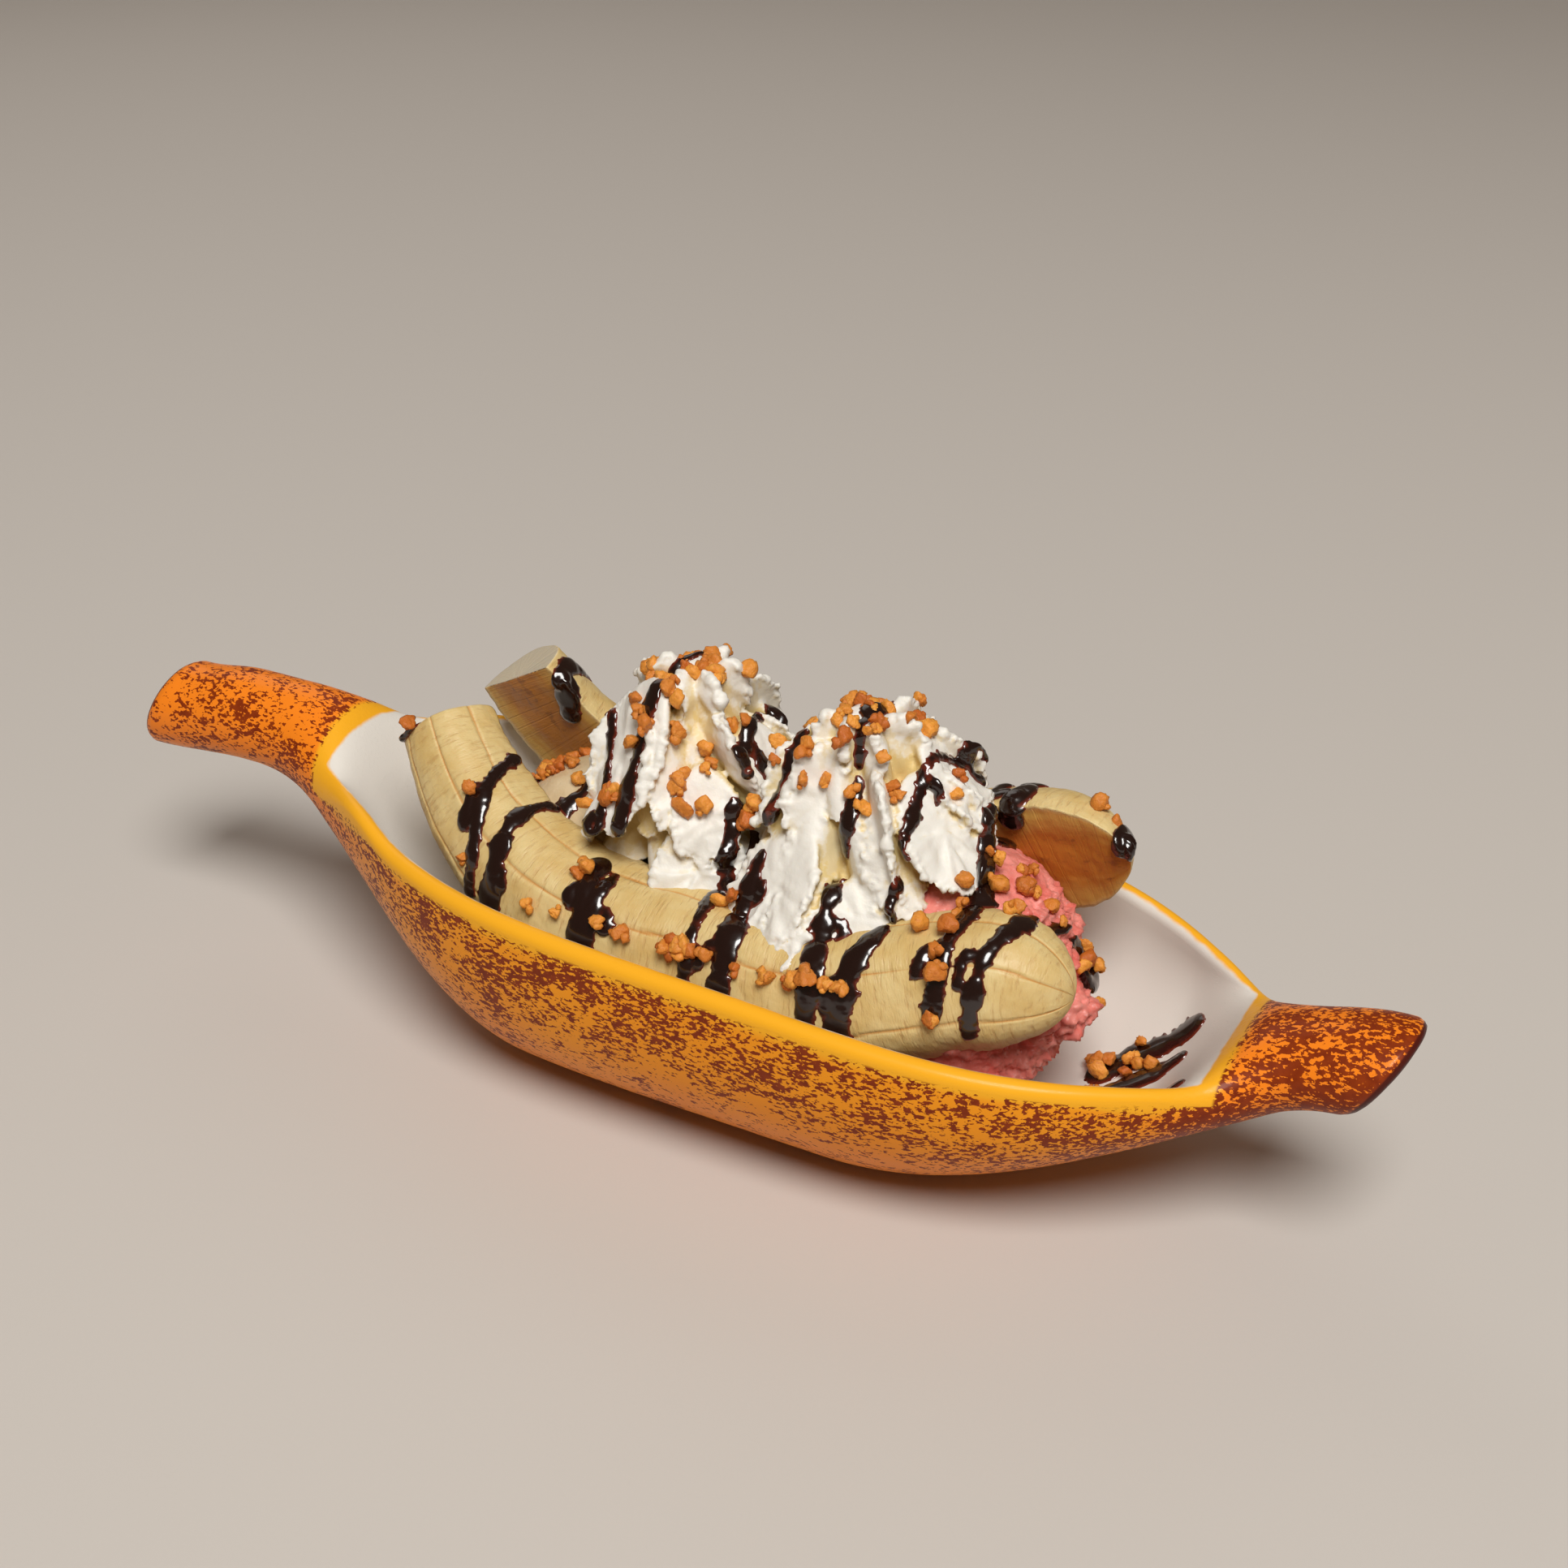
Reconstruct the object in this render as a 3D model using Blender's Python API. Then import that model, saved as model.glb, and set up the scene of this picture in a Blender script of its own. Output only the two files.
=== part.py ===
"""Banana split: a banana cut lengthwise, three scoops of ice cream and two
rosettes of whipped cream, served in a dish that is shaped like a banana.

Metres, +Z up. The origin is on the table under the middle of the dish. The
stem of the dish points to -X and its blossom tip to +X.
"""

import math

import bmesh
import bpy
from mathutils import Vector, noise

MM = 0.001
GAP = 0.3 * MM
SHARP_ANGLE = 50

# Dish, in millimetres. The ends are places along X. A plan holds where the bowl
# has narrowed to the stem or the tip, the half width there, how full the bowl
# stays and how softly it runs into the neck. A rise is where the height starts
# to change along X and where it is done.
STEM_END = -153.5
TIP_END = 152.0
BOWL_MIDDLE = 16.0
BOWL_HALF_WIDTH = 48.7
STEM_PLAN = (-122.0, 11.5, 3.5, 2.5)
TIP_PLAN = (139.0, 13.0, 4.2, 1.8)
RIM_HEIGHT = 52.5
RIM_SLOPE = 0.04
RIM_SAG = 0.00043
STEM_TOP = 69.5
STEM_TOP_RISE = (-60.0, -116.0)
TIP_TOP = 58.0
TIP_TOP_RISE = (106.0, 150.0)
FOOT_DEPTH = 1.5
STEM_UNDER = 47.0
STEM_UNDER_RISE = (-32.0, -126.0)
TIP_UNDER = 37.0
TIP_UNDER_RISE = (46.0, 160.0)
STEM_DROOP = 2.0
DISH_STEP = 8.0
WALL = 5.0
RIM_ROUND = 2.5
STEM_HOLLOW = (-101.0, -68.0)
TIP_HOLLOW = (130.0, 104.0)
OUTER_STEPS = 18
RIM_STEPS = 3
FLOOR_STEPS = 10
OUTER_SQUARENESS = 2.35
FLOOR_SQUARENESS = 2.2
END_LEAN = 24.0
STEM_LEAN_SLOPE = 0.42
TIP_LEAN_SLOPE = 0.58
# Rounding of the two blunt ends: share of the section, distance beyond it.
END_ROUNDING = ((0.95, 1.6), (0.82, 2.9), (0.5, 3.7))

# Banana halves, in millimetres. Each cut face is flat, in a plane given by a Y
# and a Z on it and its turn about X: at 90 degrees it is upright and looks to
# +Y. A bend holds X and Z of the middle of the cut face at the start, at its
# lowest place and at the tip, the power of the curve up to the lowest place,
# and the shares of the rest between which it climbs. Widths: half width at the
# start, in the middle and at the tip.
FRONT_PLANE = ((-26, 48), 125)
FRONT_BEND = ((-64, 74), (14, 46), (95, 57), 3, (0.28, 0.9))
FRONT_WIDTHS = (11, 15.3, 12)
BACK_PLANE = ((24, 44), -106)
BACK_BEND = ((-61, 78), (-2, 45), (92, 69), 3.2, (0.2, 1.05))
BACK_WIDTHS = (12, 16, 11.5)
BEND_STEPS = 40
TIP_NARROWING = 40.0
TIP_ROUNDING = 17.0
TIP_TAPER = 0.97
BANANA_STATIONS = 20
BANANA_ROUND_STEPS = 11
BANANA_FACE_STEPS = 3
BANANA_RIDGE = 0.035
BANANA_RIDGES = 5

# Scoops, in millimetres: middle, half sizes along X, Y and Z.
SCOOPS = {
    "scoop_vanilla": ((-27, 1, 41), (27, 27, 28)),
    "scoop_chocolate": ((18, 0, 41), (27, 27, 28)),
    "scoop_strawberry": ((64, -3, 45), (28, 29, 31)),
}
SCOOP_RINGS = 12
SCOOP_SEGMENTS = 18
SCOOP_LUMP = 1.6
SCOOP_LUMP_SIZE = 14.0

# Rosettes, in millimetres: middle, base, top, radius, number of fins, turn of
# the fins from base to top in degrees.
ROSETTES = {
    "cream_left": ((-1, -2), 58, 105, 28, 7, 40),
    "cream_right": ((40, -4), 56, 104, 30, 8, -35),
}
# Share of the height, share of the radius.
ROSETTE_PROFILE = ((0, 0.62), (0.12, 0.9), (0.3, 1.0), (0.55, 0.86), (0.8, 0.52), (1, 0.12))
ROSETTE_LEVELS = 13
FIN_STEPS = 7
FIN_DEPTH = 0.34
FIN_FADE = 0.4
FIN_DROOP = 9.0


def along(rows, x):
    """The values at x on smooth curves through rows of (x, value, ...)."""
    last = len(rows) - 1
    start = max(k for k in range(last) if k == 0 or rows[k][0] <= x)

    def slopes(k):
        low, high = rows[max(k - 1, 0)], rows[min(k + 1, last)]
        return [(b - a) / (high[0] - low[0]) for a, b in zip(low[1:], high[1:])]

    low, high = rows[start], rows[start + 1]
    span = high[0] - low[0]
    f = (x - low[0]) / span
    return [
        a + (b - a) * f * f * (3 - 2 * f) + span * f * (1 - f) * (s * (1 - f) - e * f)
        for a, b, s, e in zip(low[1:], high[1:], slopes(start), slopes(start + 1))
    ]


def ease(low, high, x):
    """0 up to low and 1 from high on, with a smooth rise between them."""
    f = min(max((x - low) / (high - low), 0), 1)
    return f * f * (3 - 2 * f)


def mix(a, b, f):
    return a + (b - a) * f


def squared(angle, squareness):
    """Cosine and sine of the angle on an ellipse squared up by squareness."""
    c, s = math.cos(angle), math.sin(angle)
    power = 2 / squareness
    return math.copysign(abs(c) ** power, c), abs(s) ** power


def loft(bm, rings):
    """Skins closed rings of points, given in millimetres, and caps both ends."""
    rows = [[bm.verts.new(Vector(point) * MM) for point in ring] for ring in rings]
    count = len(rows[0])
    for first, second in zip(rows, rows[1:]):
        for k in range(count):
            after = (k + 1) % count
            bm.faces.new((first[k], first[after], second[after], second[k]))
    bm.faces.new(reversed(rows[0]))
    bm.faces.new(rows[-1])
    bmesh.ops.recalc_face_normals(bm, faces=bm.faces)


def add_object(name, bm, material, collection):
    """Makes the mesh of triangles, so that a piece and the cutter that is copied
    from it bend along the same edges."""
    bmesh.ops.triangulate(bm, faces=bm.faces)
    mesh = bpy.data.meshes.new(name)
    bm.to_mesh(mesh)
    bm.free()
    mesh.materials.append(material)
    mesh.shade_smooth()
    mesh.set_sharp_from_angle(angle=math.radians(SHARP_ANGLE))
    obj = bpy.data.objects.new(name, mesh)
    collection.objects.link(obj)
    return obj


def add_material(name, colour, roughness):
    material = bpy.data.materials.new(name)
    material.use_nodes = True
    shader = material.node_tree.nodes["Principled BSDF"]
    shader.inputs["Base Color"].default_value = (*colour, 1)
    shader.inputs["Roughness"].default_value = roughness
    shader.inputs["Metallic"].default_value = 0
    return material


def dish_top(half, top, widest, floor, hollow):
    """The upper side of a section, from +Y to -Y: a dome over the stem and
    the tip, and a round rim, wall and floor where the dish is hollow."""
    inner = half - WALL
    rim = []
    for k in range(1, RIM_STEPS + 1):
        angle = math.pi * k / (RIM_STEPS + 1)
        rim.append((half - RIM_ROUND + RIM_ROUND * math.cos(angle), RIM_ROUND * math.sin(angle)))
    cavity = [(y, top - RIM_ROUND + z) for y, z in rim]
    for k in range(FLOOR_STEPS + 1):
        c, s = squared(math.pi * k / FLOOR_STEPS, FLOOR_SQUARENESS)
        cavity.append((inner * c, mix(top - RIM_ROUND, floor, s)))
    cavity += [(-y, top - RIM_ROUND + z) for y, z in reversed(rim)]
    points = []
    for k, (y, z) in enumerate(cavity, 1):
        angle = math.pi * k / (len(cavity) + 1)
        dome = (half * math.cos(angle), widest + (top - widest) * math.sin(angle))
        points.append((mix(dome[0], y, hollow), mix(dome[1], z, hollow)))
    return points


def dish_half_width(x):
    neck, slim, fullness, softness = STEM_PLAN if x < BOWL_MIDDLE else TIP_PLAN
    out = min((x - BOWL_MIDDLE) / (neck - BOWL_MIDDLE), 1)
    return mix(slim, BOWL_HALF_WIDTH, (1 - out**fullness) ** softness)


def dish_heights(x):
    """Height of the rim or of the top, and of the underside."""
    beyond = x - BOWL_MIDDLE
    top = RIM_HEIGHT - RIM_SLOPE * beyond - RIM_SAG * max(beyond, 0) ** 2
    top = mix(top, STEM_TOP, ease(*STEM_TOP_RISE, x))
    top = mix(top, TIP_TOP, ease(*TIP_TOP_RISE, x))
    under = mix(-FOOT_DEPTH, STEM_UNDER, ease(*STEM_UNDER_RISE, x))
    under = mix(under, TIP_UNDER, ease(*TIP_UNDER_RISE, x))
    droop = STEM_DROOP * ease(STEM_END + END_LEAN, STEM_END, x)
    return top - droop, under - droop


def dish_ring(x):
    half = dish_half_width(x)
    top, under = dish_heights(x)
    hollow = ease(*STEM_HOLLOW, x) * ease(*TIP_HOLLOW, x)
    middle = (top + under) / 2
    widest = mix(middle, top - RIM_ROUND, hollow)
    section = []
    for k in range(OUTER_STEPS + 1):
        c, s = squared(math.pi * k / OUTER_STEPS, mix(2, OUTER_SQUARENESS, hollow))
        section.append((-half * c, mix(widest, under, s)))
    section += dish_top(half, top, widest, max(under, 0) + WALL, hollow)
    lean = STEM_LEAN_SLOPE * ease(STEM_END + END_LEAN, STEM_END, x)
    lean += TIP_LEAN_SLOPE * ease(TIP_END - END_LEAN, TIP_END, x)
    return [(x + lean * (z - middle), y, z) for y, z in section]


def end_rings(ring, side):
    """Ever smaller copies of the end section, set further out each time."""
    middle = sum((Vector(point) for point in ring), Vector()) / len(ring)
    for share, out in END_ROUNDING:
        yield [middle.lerp(Vector(point), share) + Vector((side * out, 0, 0)) for point in ring]


def make_dish(material, collection):
    count = round((TIP_END - STEM_END) / DISH_STEP)
    rings = [dish_ring(mix(STEM_END, TIP_END, k / count)) for k in range(count + 1)]
    rings = list(end_rings(rings[0], -1))[::-1] + rings + list(end_rings(rings[-1], 1))
    bm = bmesh.new()
    loft(bm, rings)
    cut = bmesh.ops.bisect_plane(
        bm,
        geom=bm.verts[:] + bm.edges[:] + bm.faces[:],
        dist=1e-7,
        plane_co=(0, 0, 0),
        plane_no=(0, 0, -1),
        clear_outer=True,
    )
    foot = [e for e in cut["geom_cut"] if isinstance(e, bmesh.types.BMEdge)]
    bmesh.ops.contextual_create(bm, geom=foot)
    return add_object("dish", bm, material, collection)


def banana_rows(bend, widths):
    """Rows of distance along the half, X and Z of the middle of the cut face,
    and half width, worked out from the bend and the widths."""
    start, lowest, tip, power, climb = bend
    rows = []
    for k in range(BEND_STEPS + 1):
        x = mix(start[0], tip[0], k / BEND_STEPS)
        before = max((lowest[0] - x) / (lowest[0] - start[0]), 0)
        after = max((x - lowest[0]) / (tip[0] - lowest[0]), 0)
        z = lowest[1] + (start[1] - lowest[1]) * before**power
        z += (tip[1] - lowest[1]) * ease(*climb, after)
        narrow = max(x - tip[0] + TIP_NARROWING, 0) / TIP_NARROWING
        half = widths[1] - (widths[1] - widths[0]) * before**3
        half -= (widths[1] - widths[2]) * narrow**2
        s = rows[-1][0] + math.dist((x, z), rows[-1][1:3]) if rows else 0
        rows.append((s, x, z, half))
    return rows


def banana_middle(plane, rows, s):
    """Middle of the cut face at a distance along the half, and its half width."""
    (y0, z0), angle = plane
    x, z, half = along(rows, s)
    lean = math.tan(math.radians(angle - 90))
    return Vector((x, y0 + (z - z0) * lean, z)), half


def banana_ring(plane, rows, s, share):
    """A half-round section across the curve of the banana; share shrinks it."""
    middle, half = banana_middle(plane, rows, s)
    run = banana_middle(plane, rows, s + 1)[0] - banana_middle(plane, rows, s - 1)[0]
    turn = math.radians(plane[1])
    face = Vector((0, math.sin(turn), math.cos(turn)))
    side = run.normalized().cross(face)
    half *= share
    ring = []
    for k in range(BANANA_ROUND_STEPS + 1):
        angle = math.pi * k / BANANA_ROUND_STEPS
        radius = half * (1 + BANANA_RIDGE * math.cos(BANANA_RIDGES * angle))
        ring.append(middle + side * radius * math.cos(angle) - face * radius * math.sin(angle))
    for k in range(1, BANANA_FACE_STEPS + 1):
        ring.append(ring[BANANA_ROUND_STEPS].lerp(ring[0], k / (BANANA_FACE_STEPS + 1)))
    return ring


def make_banana(name, plane, bend, widths, material, collection):
    rows = banana_rows(bend, widths)
    length = rows[-1][0]
    rings = []
    for k in range(BANANA_STATIONS + 1):
        f = k / BANANA_STATIONS
        s = length * mix(f, math.sin(math.pi / 2 * f), 0.5)
        into_tip = max(s - length + TIP_ROUNDING, 0) / TIP_ROUNDING
        rings.append(banana_ring(plane, rows, s, math.sqrt(1 - TIP_TAPER * into_tip**2)))
    bm = bmesh.new()
    loft(bm, rings)
    return add_object(name, bm, material, collection)


def make_scoop(name, material, collection):
    middle, half_sizes = SCOOPS[name]
    bm = bmesh.new()
    bmesh.ops.create_uvsphere(bm, u_segments=SCOOP_SEGMENTS, v_segments=SCOOP_RINGS, radius=1)
    for vert in bm.verts:
        place = Vector(a * b for a, b in zip(vert.co, half_sizes)) + Vector(middle)
        lump = SCOOP_LUMP * noise.noise(place / SCOOP_LUMP_SIZE)
        vert.co = (place + vert.co * lump) * MM
    return add_object(name, bm, material, collection)


def rosette_ring(name, level):
    """A star of fins at a share of the height, with the fin tips hanging."""
    (x, y), base, top, radius, fins, turn = ROSETTES[name]
    share = along(ROSETTE_PROFILE, level)[0]
    points = []
    count = fins * FIN_STEPS
    for k in range(count):
        angle = 2 * math.pi * k / count
        ridge = abs(math.cos(fins * angle / 2))
        reach = radius * share * (1 - FIN_DEPTH * (1 - ridge) * (1 - FIN_FADE * level))
        out = angle + math.radians(turn) * level
        droop = FIN_DROOP * (reach / radius) ** 2 * (1 - level) * ridge
        points.append(
            (x + reach * math.cos(out), y + reach * math.sin(out), mix(base, top, level) - droop)
        )
    return points


def make_rosette(name, material, collection):
    levels = range(ROSETTE_LEVELS + 1)
    bm = bmesh.new()
    loft(bm, [rosette_ring(name, k / ROSETTE_LEVELS) for k in levels])
    return add_object(name, bm, material, collection)


def add_cutter(obj, collection):
    """A copy that is larger all round by the gap that pieces keep."""
    cutter = bpy.data.objects.new(obj.name + "_cutter", obj.data)
    collection.objects.link(cutter)
    grow = cutter.modifiers.new("gap", "DISPLACE")
    grow.mid_level = 0
    grow.strength = GAP
    cutter.hide_render = True
    cutter.display_type = "WIRE"
    return cutter


def cut(obj, cutters):
    for cutter in cutters:
        boolean = obj.modifiers.new("clear_of_" + cutter.name, "BOOLEAN")
        boolean.object = cutter
        boolean.operation = "DIFFERENCE"
        boolean.solver = "EXACT"


def main():
    for obj in list(bpy.data.objects):
        bpy.data.objects.remove(obj)
    split = bpy.data.collections.new("banana_split")
    cutters = bpy.data.collections.new("cutters")
    for collection in (split, cutters):
        bpy.context.scene.collection.children.link(collection)

    glaze = add_material("glaze", (0.82, 0.36, 0.04), 0.3)
    banana = add_material("banana_flesh", (0.82, 0.66, 0.3), 0.5)
    whipped = add_material("whipped_cream", (0.9, 0.86, 0.76), 0.6)
    ices = {
        "scoop_vanilla": add_material("vanilla_ice", (0.86, 0.76, 0.52), 0.6),
        "scoop_chocolate": add_material("chocolate_ice", (0.12, 0.05, 0.03), 0.6),
        "scoop_strawberry": add_material("strawberry_ice", (0.8, 0.22, 0.25), 0.6),
    }

    pieces = [
        make_dish(glaze, split),
        make_banana("banana_front", FRONT_PLANE, FRONT_BEND, FRONT_WIDTHS, banana, split),
        make_banana("banana_back", BACK_PLANE, BACK_BEND, BACK_WIDTHS, banana, split),
    ]
    pieces += [make_scoop(name, ices[name], split) for name in SCOOPS]
    pieces += [make_rosette(name, whipped, split) for name in ROSETTES]

    made = []
    for piece in pieces:
        cut(piece, made)
        made.append(add_cutter(piece, cutters))


main()
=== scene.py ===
import math
import random

import bmesh
import bpy
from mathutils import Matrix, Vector, noise
from mathutils.bvhtree import BVHTree
from mathutils.kdtree import KDTree


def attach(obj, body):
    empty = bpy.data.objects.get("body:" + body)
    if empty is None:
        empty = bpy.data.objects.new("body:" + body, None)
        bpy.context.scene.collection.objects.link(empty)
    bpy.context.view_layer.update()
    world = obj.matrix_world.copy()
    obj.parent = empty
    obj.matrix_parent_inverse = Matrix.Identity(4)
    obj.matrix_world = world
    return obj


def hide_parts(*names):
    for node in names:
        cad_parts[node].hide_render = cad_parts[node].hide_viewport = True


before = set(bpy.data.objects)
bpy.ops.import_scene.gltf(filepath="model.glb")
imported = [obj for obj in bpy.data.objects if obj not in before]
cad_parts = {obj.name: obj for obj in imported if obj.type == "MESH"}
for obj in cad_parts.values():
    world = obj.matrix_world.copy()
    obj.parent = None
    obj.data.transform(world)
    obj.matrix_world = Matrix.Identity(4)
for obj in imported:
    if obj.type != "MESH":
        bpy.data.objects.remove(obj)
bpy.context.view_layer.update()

bl_info = {
    "name": "Banana split",
    "version": (1, 0, 0),
    "blender": (4, 5, 0),
    "location": "View3D > Sidebar > Banana split",
    "description": "Makes a banana split in a speckled banana-shaped dish",
    "category": "Add Mesh",
}

MM = 0.001

# Dish, in millimetres. The ends are places along X. A plan holds where the bowl
# has narrowed to the stem or the tip, the half width there, how full the bowl
# stays and how softly it runs into the neck. A rise is where the height starts
# to change along X and where it is done.
STEM_END = -153.5
TIP_END = 152.0
BOWL_MIDDLE = 16.0
BOWL_HALF_WIDTH = 48.7
STEM_PLAN = (-122.0, 11.5, 3.5, 2.5)
TIP_PLAN = (139.0, 13.0, 4.2, 1.8)
RIM_HEIGHT = 52.5
RIM_SLOPE = 0.04
RIM_SAG = 0.00043
STEM_TOP = 69.5
STEM_TOP_RISE = (-60.0, -116.0)
TIP_TOP = 58.0
TIP_TOP_RISE = (106.0, 150.0)
FOOT_DEPTH = 1.5
STEM_UNDER = 47.0
STEM_UNDER_RISE = (-32.0, -126.0)
TIP_UNDER = 37.0
TIP_UNDER_RISE = (46.0, 160.0)
STEM_DROOP = 2.0
DISH_STEP = 1.6
WALL = 5.0
RIM_ROUND = 2.5
STEM_HOLLOW = (-101.0, -68.0)
TIP_HOLLOW = (130.0, 104.0)
OUTER_STEPS = 60
RIM_STEPS = 9
FLOOR_STEPS = 40
OUTER_SQUARENESS = 2.35
FLOOR_SQUARENESS = 2.2
END_LEAN = 24.0
STEM_LEAN_SLOPE = 0.42
TIP_LEAN_SLOPE = 0.58
# Rounding of the two blunt ends: share of the section, distance beyond it.
END_ROUNDING = (
    (0.99, 0.5),
    (0.97, 1.0),
    (0.95, 1.6),
    (0.9, 2.4),
    (0.82, 2.9),
    (0.5, 3.7),
    (0.2, 3.8),
)
# White glaze: where it ends along X, how far it stays from the outer edge, how
# sharply it ends, and the measure of it in the bowl and on the outside.
WHITE_ENDS = (-96.0, 122.0)
WHITE_EDGE = 3.6
WHITE_END_SLOPE = 1.3
WHITE_MOST = 8.0
WHITE_NONE = -4.0
# Plain glaze round the white, by that measure, and under the rim, by the drop.
PLAIN_ROUND_WHITE = (-7.5, -3.6)
PLAIN_UNDER_RIM = (2.4, 0.0)
# Flecks: how crowded they are, and the drops where they start and thin out.
FLECKS_ON_STEM = 0.86
FLECKS_ON_TIP = 1.25
FLECKS_ON_RIM = 0.1
FLECKS_LOW_DOWN = 0.66
FLECKS_START = (-3.0, 0.6)
FLECKS_THIN_OUT = (14, 30)
LOW_SHARES = (0.25, 1.0)
# Brushed streaks along X: on the tip, and weaker before it.
BRUSHED_TIP = (132, 146)
BRUSHED_START = (78, 90)
BRUSHED_STOP = (112, 100)
BRUSHED_WEAKER = 0.6

# Banana halves, in millimetres. Each cut face is flat, in a plane given by a Y
# and a Z on it and its turn about X: at 90 degrees it is upright and looks to
# +Y. A bend holds X and Z of the middle of the cut face at the start, at its
# lowest place and at the tip, the power of the curve up to the lowest place,
# and the shares of the rest between which it climbs. Widths: half width at the
# start, in the middle and at the tip.
FRONT_PLANE = ((-26, 48), 125)
FRONT_BEND = ((-64, 74), (14, 46), (95, 57), 3, (0.28, 0.9))
FRONT_WIDTHS = (11, 15.3, 12)
BACK_PLANE = ((24, 44), -106)
BACK_BEND = ((-61, 78), (-2, 45), (92, 69), 3.2, (0.2, 1.05))
BACK_WIDTHS = (12, 16, 11.5)
BEND_STEPS = 40
TIP_NARROWING = 40.0
TIP_ROUNDING = 17.0
# Half width of the cut face over which its colour changes.
CUT_HALF = 15
# Places of the lines round the outside, in degrees.
BANANA_LINES = (38, 84, 130)
BANANA_STATIONS = 260
BANANA_ROUND_STEPS = 90
BANANA_FACE_STEPS = 34
BANANA_RIDGE = 0.022
BANANA_RIDGES = 5
BANANA_LUMP = 0.35
# Shares of the section on the flat end where the banana was cut across.
BANANA_END_SHARES = (0.02, 0.2, 0.45, 0.7, 0.88, 0.965, 0.99)

# Scoops, in millimetres: middle, half sizes along X, Y and Z.
SCOOPS = {
    "scoop_vanilla": ((-27, 1, 41), (27, 27, 28)),
    "scoop_chocolate": ((18, 0, 41), (27, 27, 28)),
    "scoop_strawberry": ((62.5, -3, 44), (25.5, 28.5, 28.5)),
}

# Torn side of the strawberry scoop: lumps, their turns in degrees, heights and
# radii, and how rough the rest and that side are.
TORN_SEED = 3
TORN_LUMPS = 9
TORN_TURNS = (-85, 15)
TORN_HEIGHTS = (-16, 14)
TORN_RADII = (4, 7.5)
TORN_SHARE = 0.45
TORN_FADE = 9
ROUGHNESS_RANGE = (0.5, 2.0)

# Rosettes, in millimetres: middle of the base, base and top heights.
ROSETTES = {
    "left": ((-1, -2), 53, 104.5),
    "right": ((40, -4), 52, 103.5),
}
# Layers of a rosette, from the lowest: height of the top, of the lip, radius,
# fins, depth of the valleys, turn of the fins and their lean per millimetre.
LAYERS = {
    "left": (
        (80, 60, 25, 7, 0.5, -105, 1.2),
        (93, 72, 21, 7, 0.55, -75, 1.3),
        (103, 86, 12, 6, 0.5, -60, 1.6),
    ),
    "right": (
        (78, 55, 27, 8, 0.48, -100, 1.0),
        (92, 70, 24, 8, 0.55, -80, 1.1),
        (102, 84, 15, 7, 0.5, -62, 1.3),
    ),
}
# Fins: azimuth in degrees, height of the middle, reach, height of the fin,
# droop, lean in degrees from its top to its bottom, sideways curl.
FINS = {
    "left": (
        (-152, 84, 25, 24, 6, 24, 4.0),
        (-80, 84, 23, 26, 7, 34, -3.0),
        (-38, 87, 22, 20, 6, 18, 4.0),
        (-12, 76, 23, 16, 5, 10, 3.0),
        (22, 82, 24, 22, 6, 16, 3.0),
        (60, 87, 22, 24, 6, 16, 3.0),
        (96, 84, 23, 24, 6, 16, 3.0),
        (132, 83, 24, 24, 6, 16, 3.0),
        (172, 92, 23, 13, 2, 10, -6.0),
        (200, 78, 24, 18, 6, 12, 3.0),
        (85, 96, 12, 15, 1, 8, 2.0),
        (-160, 98, 11, 12, 1, 8, 2.0),
        (-95, 96, 11, 15, 2, 12, 3.0),
        (-45, 97, 12, 14, 2, 12, 2.0),
        (10, 98, 11, 13, 1, 10, 2.0),
    ),
    "right": (
        (-150, 86, 22, 24, 5, 20, 4.0),
        (-134, 70, 27, 12, 5, 12, 3.0),
        (-112, 86, 20, 26, 7, 16, -3.0),
        (-44, 80, 25, 33, 8, 20, -2.0),
        (4, 82, 27, 24, 6, 14, 4.0),
        (38, 84, 27, 28, 6, 14, 3.0),
        (74, 84, 26, 26, 6, 14, 3.0),
        (112, 84, 26, 26, 6, 14, 3.0),
        (152, 83, 25, 26, 6, 14, 3.0),
        (190, 80, 25, 20, 6, 14, 3.0),
        (60, 95, 15, 15, 1, 8, 2.0),
        (-100, 97, 11, 11, 1, 8, 2.0),
        (-145, 96, 12, 13, 1, 10, 2.0),
        (-55, 95, 12, 15, 2, 12, 2.0),
        (0, 96, 13, 14, 1, 10, 2.0),
    ),
}

# Flaps: azimuth, height of the top and of the ragged lip, distance out at the
# top and at the lip, width of the lip, curl of its sides.
FLAPS = {
    "left": (
        (-122, 101, 68, 10, 27, 28, 2.5),
        (-62, 74, 53, 17, 30, 24, 1.5),
        (-58, 85, 66, 14, 25, 17, 2.0),
        (-150, 78, 60, 17, 28, 22, 2.0),
        (-8, 92, 76, 12, 23, 16, 2.0),
        (20, 84, 66, 16, 26, 20, 2.0),
        (70, 92, 70, 12, 25, 22, 2.0),
        (125, 92, 70, 12, 25, 22, 2.0),
        (178, 97, 80, 10, 24, 20, 2.0),
    ),
    "right": (
        (-114, 80, 56, 16, 33, 25, 2.5),
        (-98, 70, 55, 20, 35, 13, 1.5),
        (-64, 72, 56, 18, 31, 25, 1.5),
        (-44, 90, 66, 13, 27, 15, -1.5),
        (-17, 92, 71, 13, 31, 25, 2.0),
        (14, 97, 77, 11, 28, 21, 2.0),
        (44, 97, 74, 11, 28, 23, 2.0),
        (90, 96, 74, 11, 27, 23, 2.0),
        (140, 95, 74, 11, 26, 23, 2.0),
        (-150, 94, 76, 11, 24, 19, 2.0),
    ),
}

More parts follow.
